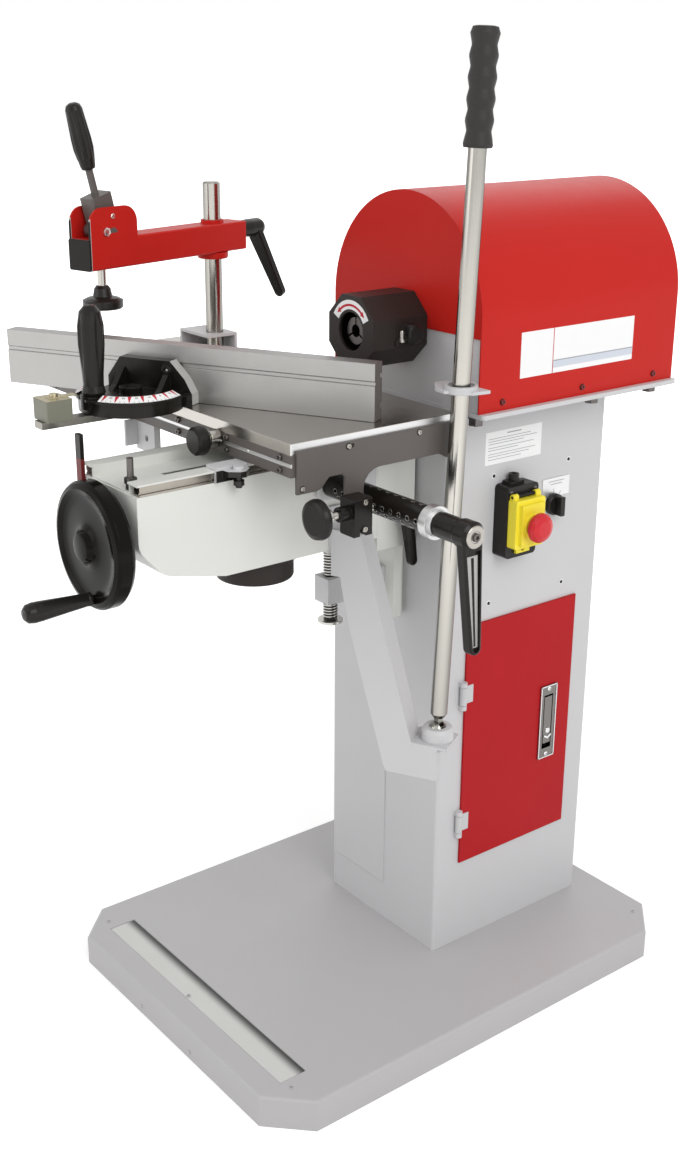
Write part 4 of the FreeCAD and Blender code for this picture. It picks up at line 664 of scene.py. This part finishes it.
# lead screw with its thread
leadScrew = {"core": 8.5, "crest": 10.0, "pitch": 4.0, "turns": 31, "bottom": 551, "root": 8.2, "steps": 20,
             "crestHalf": 0.55, "rootHalf": 1.5}
piece = bmesh.new()
place = on("top", (0, screwY, 0))
pour(piece, lathed([(0, 545), (16.4, 545), (17, 545.6), (17, 548.4), (16.4, 549), (leadScrew["core"], 549),
                    (leadScrew["core"], 679)], 40), place, 1)
pour(piece, lathed([(leadScrew["core"], 679), (15, 679), (15, 692), (20.6, 692), (26.6, 698), (14.6, 710),
                    (0, 710)], 40), place, 0)
thread = bmesh.new()
reach, low = leadScrew["crest"], leadScrew["bottom"]
points = [thread.verts.new((radius, 0, height)) for radius, height in (
    (leadScrew["root"], low - leadScrew["rootHalf"]), (reach, low - leadScrew["crestHalf"]),
    (reach, low + leadScrew["crestHalf"]), (leadScrew["root"], low + leadScrew["rootHalf"]))]
lines = [thread.edges.new(pair) for pair in zip(points, points[1:])]
bmesh.ops.spin(thread, geom=points + lines, cent=(0, 0, 0), axis=(0, 0, 1),
               angle=math.tau * leadScrew["turns"], dvec=(0, 0, leadScrew["pitch"] / leadScrew["steps"]),
               steps=leadScrew["turns"] * leadScrew["steps"])
bmesh.ops.remove_doubles(thread, verts=thread.verts, dist=0.001)
bmesh.ops.holes_fill(thread, edges=[line for line in thread.edges if line.is_boundary], sides=4)
bmesh.ops.recalc_face_normals(thread, faces=thread.faces)
pour(piece, thread, place, 1)
finishPiece("threadedScrew", "lead_screw", piece, ["darkSteel", "threadSteel"], 40, ["lead_screw"])
print("stage: stand and lead screw")

# table: screws in both edge bars, the strip, the end plate and the index block
railScrews = {"first": 137, "step": 109, "count": 6, "radius": 3.8, "height": 3.2, "upper": 833, "lower": 818,
              "strip": 826, "stripShift": -66, "stripOut": 0.8}
piece = bmesh.new()
for side, face, sign in (("front", -256, 1), ("back", -6, -1)):
    for count in range(railScrews["count"]):
        x = railScrews["first"] - railScrews["step"] * count
        for z in (railScrews["upper"], railScrews["lower"]):
            screw = socketScrew(railScrews["radius"], railScrews["height"], 1.7, 1.6)
            pour(piece, screw, on(side, (x, face, z), 9), 0)
        if count < railScrews["count"] - 1:
            place = on(side, (x + railScrews["stripShift"], face + railScrews["stripOut"] * sign,
                              railScrews["strip"]), 9)
            pour(piece, panScrew(2.0, 1.2), place, 1)
finishPiece("railScrews", "table", piece, ["darkSteel", "brightZinc"])

endScrews = {"x": 161, "places": ((-176, 838), (-68, 838), (-242.5, 798), (-16, 807)), "radius": 3.1,
             "height": 2.0, "blockX": 189, "block": ((-173, 776.7), (-173.7, 744))}
piece = bmesh.new()
for y, z in endScrews["places"]:
    place = on("right", (endScrews["x"], y, z), 25)
    pour(piece, ring(2.4, 3.9, 0.5, 24), place, 1)
    pour(piece, socketScrew(endScrews["radius"], endScrews["height"], 1.5, 1.2), place, 0)
for y, z in endScrews["block"]:
    pour(piece, socketScrew(3.4, 2.4, 1.7, 1.5), on("right", (endScrews["blockX"], y, z), 9), 0)
finishPiece("endScrews", "table", piece, ["screwSteel", "blackPaint"])

# saddle: bright rims round the index holes of the tube
tube = {"y": -130, "z": 763, "radius": 15.75}
tubeHoles = {"first": 97, "step": 15, "count": 11, "rows": (0, 30, 60), "shift": 5, "topShift": 7, "rim": 3.3}
piece = bmesh.new()
for row, lean in enumerate(tubeHoles["rows"]):
    down = (0, -math.cos(math.radians(lean)), -math.sin(math.radians(lean)))
    for count in range(tubeHoles["count"]):
        x = tubeHoles["first"] + tubeHoles["step"] * count + tubeHoles["shift"] * row
        place = standing((x, tube["y"] + down[1] * tube["radius"], tube["z"] + down[2] * tube["radius"]), down)
        rim = lathed([(2.6, 0), (tubeHoles["rim"], 0), (3.2, 0.26), (2.7, 0.2), (2.6, 0)], 18)
        pour(piece, rim, place, 0)
for count in range(tubeHoles["count"]):
    x = tubeHoles["first"] + tubeHoles["step"] * count + tubeHoles["topShift"]
    place = standing((x, tube["y"], tube["z"] + tube["radius"]), (0, 0, 1))
    pour(piece, lathed([(2.4, 0), (tubeHoles["rim"], 0), (3.2, 0.26), (2.5, 0.2), (2.4, 0)], 18), place, 0)
    pour(piece, lathed([(0, 0), (2.45, 0), (2.45, 0.27), (0, 0.27)], 18), place, 1)
finishPiece("tubeHoleRims", "saddle", piece, ["brightZinc", "blackPaint"])

# tube clamp lever: bright disc with a bolt on the end of its hub
leverDisc = {"x": 330.3, "radius": 13.5}
piece = bmesh.new()
place = on("right", (leverDisc["x"], tube["y"], tube["z"]))
pour(piece, lathed([(0, -0.2), (leverDisc["radius"], -0.2), (leverDisc["radius"], 0.6), (12.6, 1.2), (7.2, 1.2),
                    (6.8, 0.5), (0, 0.5)], 32), place, 0)
pour(piece, socketScrew(5.0, 3.2, 2.2, 2.0), lifted(place, 0.4), 1)
finishPiece("leverDisc", "tube_clamp_lever", piece, ["screwSteel", "darkSteel"])

# painted reflection: bright strip in the channel of its blade, which leans five degrees
leverGlint = {"x": 320.3, "lean": -5, "out": 3.1}
piece = bmesh.new()
place = (Matrix.Translation((leverGlint["x"], tube["y"], tube["z"])) @ turned(leverGlint["lean"], "Y")
         @ on("right", (leverGlint["out"], 0, 0)))
pour(piece, sheet(((-5.2, -132), (5.2, -132), (8.4, -24), (-8.4, -24)), 0.9, 0.3), place, 0)
pour(piece, sheet(((-1.1, -130), (1.1, -130), (1.8, -26), (-1.8, -26)), 1.8, 0.4), place, 1)
finishPiece("leverGlint", "tube_clamp_lever", piece, ["castEdge", "blackPaint"])

# mitre gauge: scale, marks, bolt and machined edges
gaugePlace = Matrix.Translation((*gaugeRoot, 852)) @ Matrix.Rotation(mitreTurn, 4, "Z")
gaugeScale = {"inner": 55.4, "outer": 68, "low": 19.7, "high": 25.6, "foot": 16.6,
              "runs": ((-95, 5), (-162, -142)), "wedgeStep": 15, "tickStep": 5, "tickHalf": 0.16,
              "textSize": 4.2, "textRadius": 60.4,
              "numbers": (("60", -82), ("45", -67), ("30", -52), ("15", -37), ("0", -22), ("15", -7))}


def slope(radius):
    # height of the bevelled rim at a distance from the gauge's centre
    share = (gaugeScale["outer"] - radius) / (gaugeScale["outer"] - gaugeScale["inner"])
    return gaugeScale["low"] + (gaugeScale["high"] - gaugeScale["low"]) * share


def swept(profile, start, stop, steps):
    # solid arc of an outline given as radius and height pairs
    part = bmesh.new()
    points = [part.verts.new((radius, 0, height)) for radius, height in profile]
    part.faces.new(points)
    bmesh.ops.rotate(part, verts=part.verts, cent=(0, 0, 0),
                     matrix=Matrix.Rotation(math.radians(start), 3, "Z"))
    bmesh.ops.spin(part, geom=part.faces[:], cent=(0, 0, 0), axis=(0, 0, 1), angle=math.radians(stop - start),
                   steps=steps)
    bmesh.ops.recalc_face_normals(part, faces=part.faces)
    return part


def onRim(profile, start, stop, steps, lift):
    # thin arc on the bevelled rim, from radius pairs
    inner, outer = profile
    return swept([(inner, slope(inner) + lift), (outer, slope(outer) + lift),
                  (outer, slope(outer) + lift + 0.1), (inner, slope(inner) + lift + 0.1)], start, stop, steps)


piece = bmesh.new()
# low is the radius at the rim's lower edge, high the one at its upper edge
low, high = gaugeScale["outer"], gaugeScale["inner"]
for start, stop in gaugeScale["runs"]:
    steps = max(4, int((stop - start) / 3))
    pour(piece, swept([(high, gaugeScale["foot"]), (low, gaugeScale["foot"]), (low, slope(low)),
                       (high + 0.4, slope(high + 0.4)), (high, slope(high + 1))], start, stop, steps),
         gaugePlace, 2)
    pour(piece, onRim((high + 0.8, low - 0.7), start + 0.4, stop - 0.4, steps, 0), gaugePlace, 0)
    tick = math.ceil((start + 1) / gaugeScale["tickStep"]) * gaugeScale["tickStep"]
    while tick < stop - 1:
        half, length = gaugeScale["tickHalf"], 3.2 if tick % 10 else 4.4
        pour(piece, onRim((low - length, low - 0.9), tick - half, tick + half, 1, 0.1), gaugePlace, 2)
        tick += gaugeScale["tickStep"]
    wedge = math.ceil((start + 4) / gaugeScale["wedgeStep"]) * gaugeScale["wedgeStep"]
    while wedge < stop - 4:
        for share in range(5):
            inner = high + 1 + share * 1.9
            left, right = wedge - 2.0 + share * 0.3, wedge + 2.2 - share * 0.5
            pour(piece, onRim((inner, inner + 1.95), left, right, 3, 0.1), gaugePlace, 1)
        wedge += gaugeScale["wedgeStep"]
tilt = math.atan2(gaugeScale["high"] - gaugeScale["low"], low - high)
for number, angle in gaugeScale["numbers"]:
    words = bpy.data.curves.new("number", "FONT")
    words.body = number
    words.size = gaugeScale["textSize"]
    words.align_x = "CENTER"
    words.extrude = 0.04
    writing = bpy.data.objects.new("number", words)
    drawn = bmesh.new()
    drawn.from_mesh(bpy.data.meshes.new_from_object(writing))
    bpy.data.objects.remove(writing)
    radius = gaugeScale["textRadius"]
    place = gaugePlace @ turned(angle) @ Matrix.Translation((radius, 0, slope(radius) + 0.2))
    pour(piece, drawn, place @ Matrix.Rotation(tilt, 4, "Y") @ turned(90), 2)
finishPiece("gaugeScale", "mitre_head", piece, ["whiteVinyl", "redVinyl", "blackPaint"])

gaugeEdges = {"front": 35.3, "back": 51.1, "rightWing": ((36, 53), (56, 32), (66, 14), (66, 0.6)),
              "leftWing": ((-54, 0.6), (-54, 28), (-36, 53)), "proud": 0.45}
piece = bmesh.new()
deep = gaugeEdges["back"] - gaugeEdges["front"]
wall = gaugePlace @ laid((0, gaugeEdges["back"], 0), (1, 0, 0), (0, 0, 1))
for line in (gaugeEdges["rightWing"], gaugeEdges["leftWing"]):
    for (u0, z0), (u1, z1) in zip(line, line[1:]):
        way = Vector((u1 - u0, z1 - z0)).normalized()
        out = Vector((-way.y, way.x)) * gaugeEdges["proud"]
        strip = ((u0, z0), (u1, z1), (u1 + out.x, z1 + out.y), (u0 + out.x, z0 + out.y))
        pour(piece, sheet(strip, deep), wall, 0)
finishPiece("gaugeEdges", "mitre_head", piece, ["castEdge"], 20)

gaugeBolt = {"place": (33, 35.3, 42), "washer": 9.4, "radius": 6.4, "height": 4.4}
piece = bmesh.new()
place = gaugePlace @ on("front", gaugeBolt["place"], 20)
pour(piece, ring(3, gaugeBolt["washer"], 1.0), place, 1)
pour(piece, socketScrew(gaugeBolt["radius"], gaugeBolt["height"], 2.6, 2.4), lifted(place, 1), 1)
# painted highlight: a bright zinc dome in the socket stands in for the glint on the bolt's head
pour(piece, lathed([(0, 0), (2.3, 0), (2.3, 0.5), (0, 0.9)], 18), lifted(place, 3.1), 0)
finishPiece("gaugeBolt", "mitre_head", piece, ["brightZinc", "blackPaint"])

# clamp: pivot pin and curved slot on each cheek, then the nuts on the lever's axle
clampPlace = Matrix.Translation((*clampRoot, 0)) @ Matrix.Rotation(clampTurn, 4, "Z")
cheekDetail = {"half": 20, "pivot": (211, 1062), "pin": 3.4, "slot": (219, 203, 1040.6, 1047.4)}
piece = bmesh.new()
for side, flip in (("right", 1), ("left", -1)):
    place = clampPlace @ on(side, (flip * cheekDetail["half"], 0, 0))
    pin = place @ Matrix.Translation((-cheekDetail["pivot"][0] * flip, cheekDetail["pivot"][1], 0))
    pour(piece, lathed([(0, 0), (cheekDetail["pin"], 0), (cheekDetail["pin"], 0.9), (2.6, 1.5), (0, 1.5)], 20),
         pin, 0)
    front, back, low, high = cheekDetail["slot"]
    arch = [(flip * -(front + (back - front) * (0.5 - 0.5 * math.cos(math.radians(angle)))),
             low + (high - low) * math.sin(math.radians(angle))) for angle in range(0, 181, 15)]
    if flip < 0:
        arch.reverse()
    # painted shade: the curved slot is a thin dark sheet on the cheek, in place of the shade inside the slot
    pour(piece, sheet(arch[::-1], 0.12), place, 1)
finishPiece("cheekDetail", "clamp_arm", piece, ["brightZinc", "darkPaint"])

axleNuts = {"along": 224, "z": 1043, "half": 20.25, "across": 10.4, "height": 3.0}
piece = bmesh.new()
for side, flip in (("right", 1), ("left", -1)):
    place = clampPlace @ on(side, (flip * axleNuts["half"], -axleNuts["along"], axleNuts["z"]), 12)
    pour(piece, hexHead(axleNuts["across"], axleNuts["height"]), place, 0)
finishPiece("axleNuts", "toggle_lever", piece, ["brightZinc"])
print("stage: table, gauge and clamp")

# door: the latch plate's two screws and raised rims
latchDetail = {"x": 123.3, "y": 225, "z": 354, "screwZ": (302, 406), "rimY": (209.9, 240.1),
               "rimZ": (297.4, 410.6), "rim": 1.6, "tall": 114, "wide": 32}
piece = bmesh.new()
for z in latchDetail["screwZ"]:
    place = on("right", (latchDetail["x"], latchDetail["y"], z))
    pour(piece, panScrew(3.4, 1.4), place, 0)
    crossMark(piece, place, 1.8, 1.3, 1)
for y in latchDetail["rimY"]:
    pour(piece, card(latchDetail["rim"], latchDetail["tall"], 1.0, 0.3),
         on("right", (latchDetail["x"], y, latchDetail["z"])), 0)
for z in latchDetail["rimZ"]:
    pour(piece, card(latchDetail["wide"], latchDetail["rim"], 1.0, 0.3),
         on("right", (latchDetail["x"], latchDetail["y"], z)), 0)
finishPiece("latchDetail", "side_door", piece, ["chrome", "darkSteel"])

pullDetail = {"place": (123.9, 225, 328)}
piece = bmesh.new()
place = on("right", pullDetail["place"])
pour(piece, sheet(((-7, 3), (0, -1), (7, 3), (7, 6), (0, 2.5), (-7, 6)), 1.6, 0.4), place, 0)
pour(piece, lathed([(0, 0), (4.2, 0), (4.2, 1.0), (3.4, 1.6), (1.2, 1.6), (1.0, 1.1), (0, 1.1)], 24),
     place @ Matrix.Translation((0, 12, 0)), 0)
finishPiece("pullDetail", "latch_pull", piece, ["chrome"])

# switch: screws of the case
caseScrews = {"x": 143, "y": (110.5, 153.5), "z": 725}
piece = bmesh.new()
for y in caseScrews["y"]:
    place = on("right", (caseScrews["x"], y, caseScrews["z"]))
    pour(piece, panScrew(2.8, 1.0), place, 0)
    crossMark(piece, place, 1.5, 0.95, 0)
finishPiece("caseScrews", "stand", piece, ["darkSteel"])
print("stage: door and switch")

# floor, light and camera
stage = {"floor": (0.90, 0.90, 0.90), "world": 0.70, "lift": (0.34, 1.0), "reach": (1.0, 3.2), "size": 14}
lights = {
    "keyLight": {"place": (3.2, -0.6, 2.9), "target": (0, 0, 0.7), "size": (2.2, 2.2), "power": 56},
    "fillLight": {"place": (-1.2, -3.4, 1.8), "target": (0, 0, 0.7), "size": (2.4, 2.0), "power": 20},
    "rimLight": {"place": (-1.6, 2.6, 3.0), "target": (0, 0, 0.9), "size": (2.0, 2.0), "power": 11},
}
photoCamera = {"place": (1.4396, -1.1863, 1.275), "azimuth": 51.8594, "pitch": 20.1974, "roll": 0.3525,
               "lens": 45.23, "sensor": 36}

floorMesh = bmesh.new()
bmesh.ops.create_grid(floorMesh, x_segments=1, y_segments=1, size=stage["size"])
floorData = bpy.data.meshes.new("floor")
floorMesh.to_mesh(floorData)
floorMesh.free()
floor = bpy.data.objects.new("floor", floorData)
bpy.context.collection.objects.link(floor)
tree, shader, coords = startMaterial("paleFloor")
bump = addNode(tree, "Bump", {"Strength": 0.02, "Height": noise(tree, coords, 60.0, 2.0)})
# the floor shows white to the camera and in reflections, and whiter further out, and keeps the shadow
rays = addNode(tree, "LightPath").outputs
direct = maths(tree, "MAXIMUM", rays["Is Camera Ray"], rays["Is Glossy Ray"])
shown = maths(tree, "MAXIMUM", direct, rays["Is Transmission Ray"])
far = addNode(tree, "VectorMath", {0: coords}, operation="LENGTH").outputs["Value"]
glow = maths(tree, "MULTIPLY", ramp(tree, far, *stage["reach"], *stage["lift"]), shown)
feed(tree, shader, {"Base Color": (*stage["floor"], 1), "Roughness": 0.9, "Normal": bump.outputs["Normal"],
                    "Emission Color": (1, 1, 1, 1), "Emission Strength": glow})
floorData.materials.append(materials["paleFloor"])

world = bpy.data.worlds.new("studio")
bpy.context.scene.world = world
world.use_nodes = True
tree = world.node_tree
rays = addNode(tree, "LightPath").outputs
seen = maths(tree, "MAXIMUM", rays["Is Camera Ray"], rays["Is Glossy Ray"])
feed(tree, tree.nodes["Background"].inputs, {"Color": (1, 1, 1, 1),
                                             "Strength": ramp(tree, seen, 0.0, 1.0, stage["world"], 1.0)})

for name, light in lights.items():
    data = bpy.data.lights.new(name, "AREA")
    data.shape = "RECTANGLE"
    data.size, data.size_y = light["size"]
    data.energy = light["power"]
    lamp = bpy.data.objects.new(name, data)
    bpy.context.collection.objects.link(lamp)
    lamp.location = light["place"]
    aim = Vector(light["target"]) - Vector(light["place"])
    lamp.rotation_euler = aim.to_track_quat("-Z", "Y").to_euler()

cameraData = bpy.data.cameras.new("photoCamera")
cameraData.sensor_fit = "AUTO"
cameraData.sensor_width = photoCamera["sensor"]
cameraData.lens = photoCamera["lens"]
camera = bpy.data.objects.new("photoCamera", cameraData)
bpy.context.collection.objects.link(camera)
camera.matrix_world = (Matrix.Translation(photoCamera["place"]) @ turned(photoCamera["azimuth"])
                       @ turned(90 - photoCamera["pitch"], "X") @ turned(photoCamera["roll"]))
bpy.context.scene.camera = camera
bpy.context.scene.view_settings.view_transform = "Standard"
print("stage: floor, light and camera")
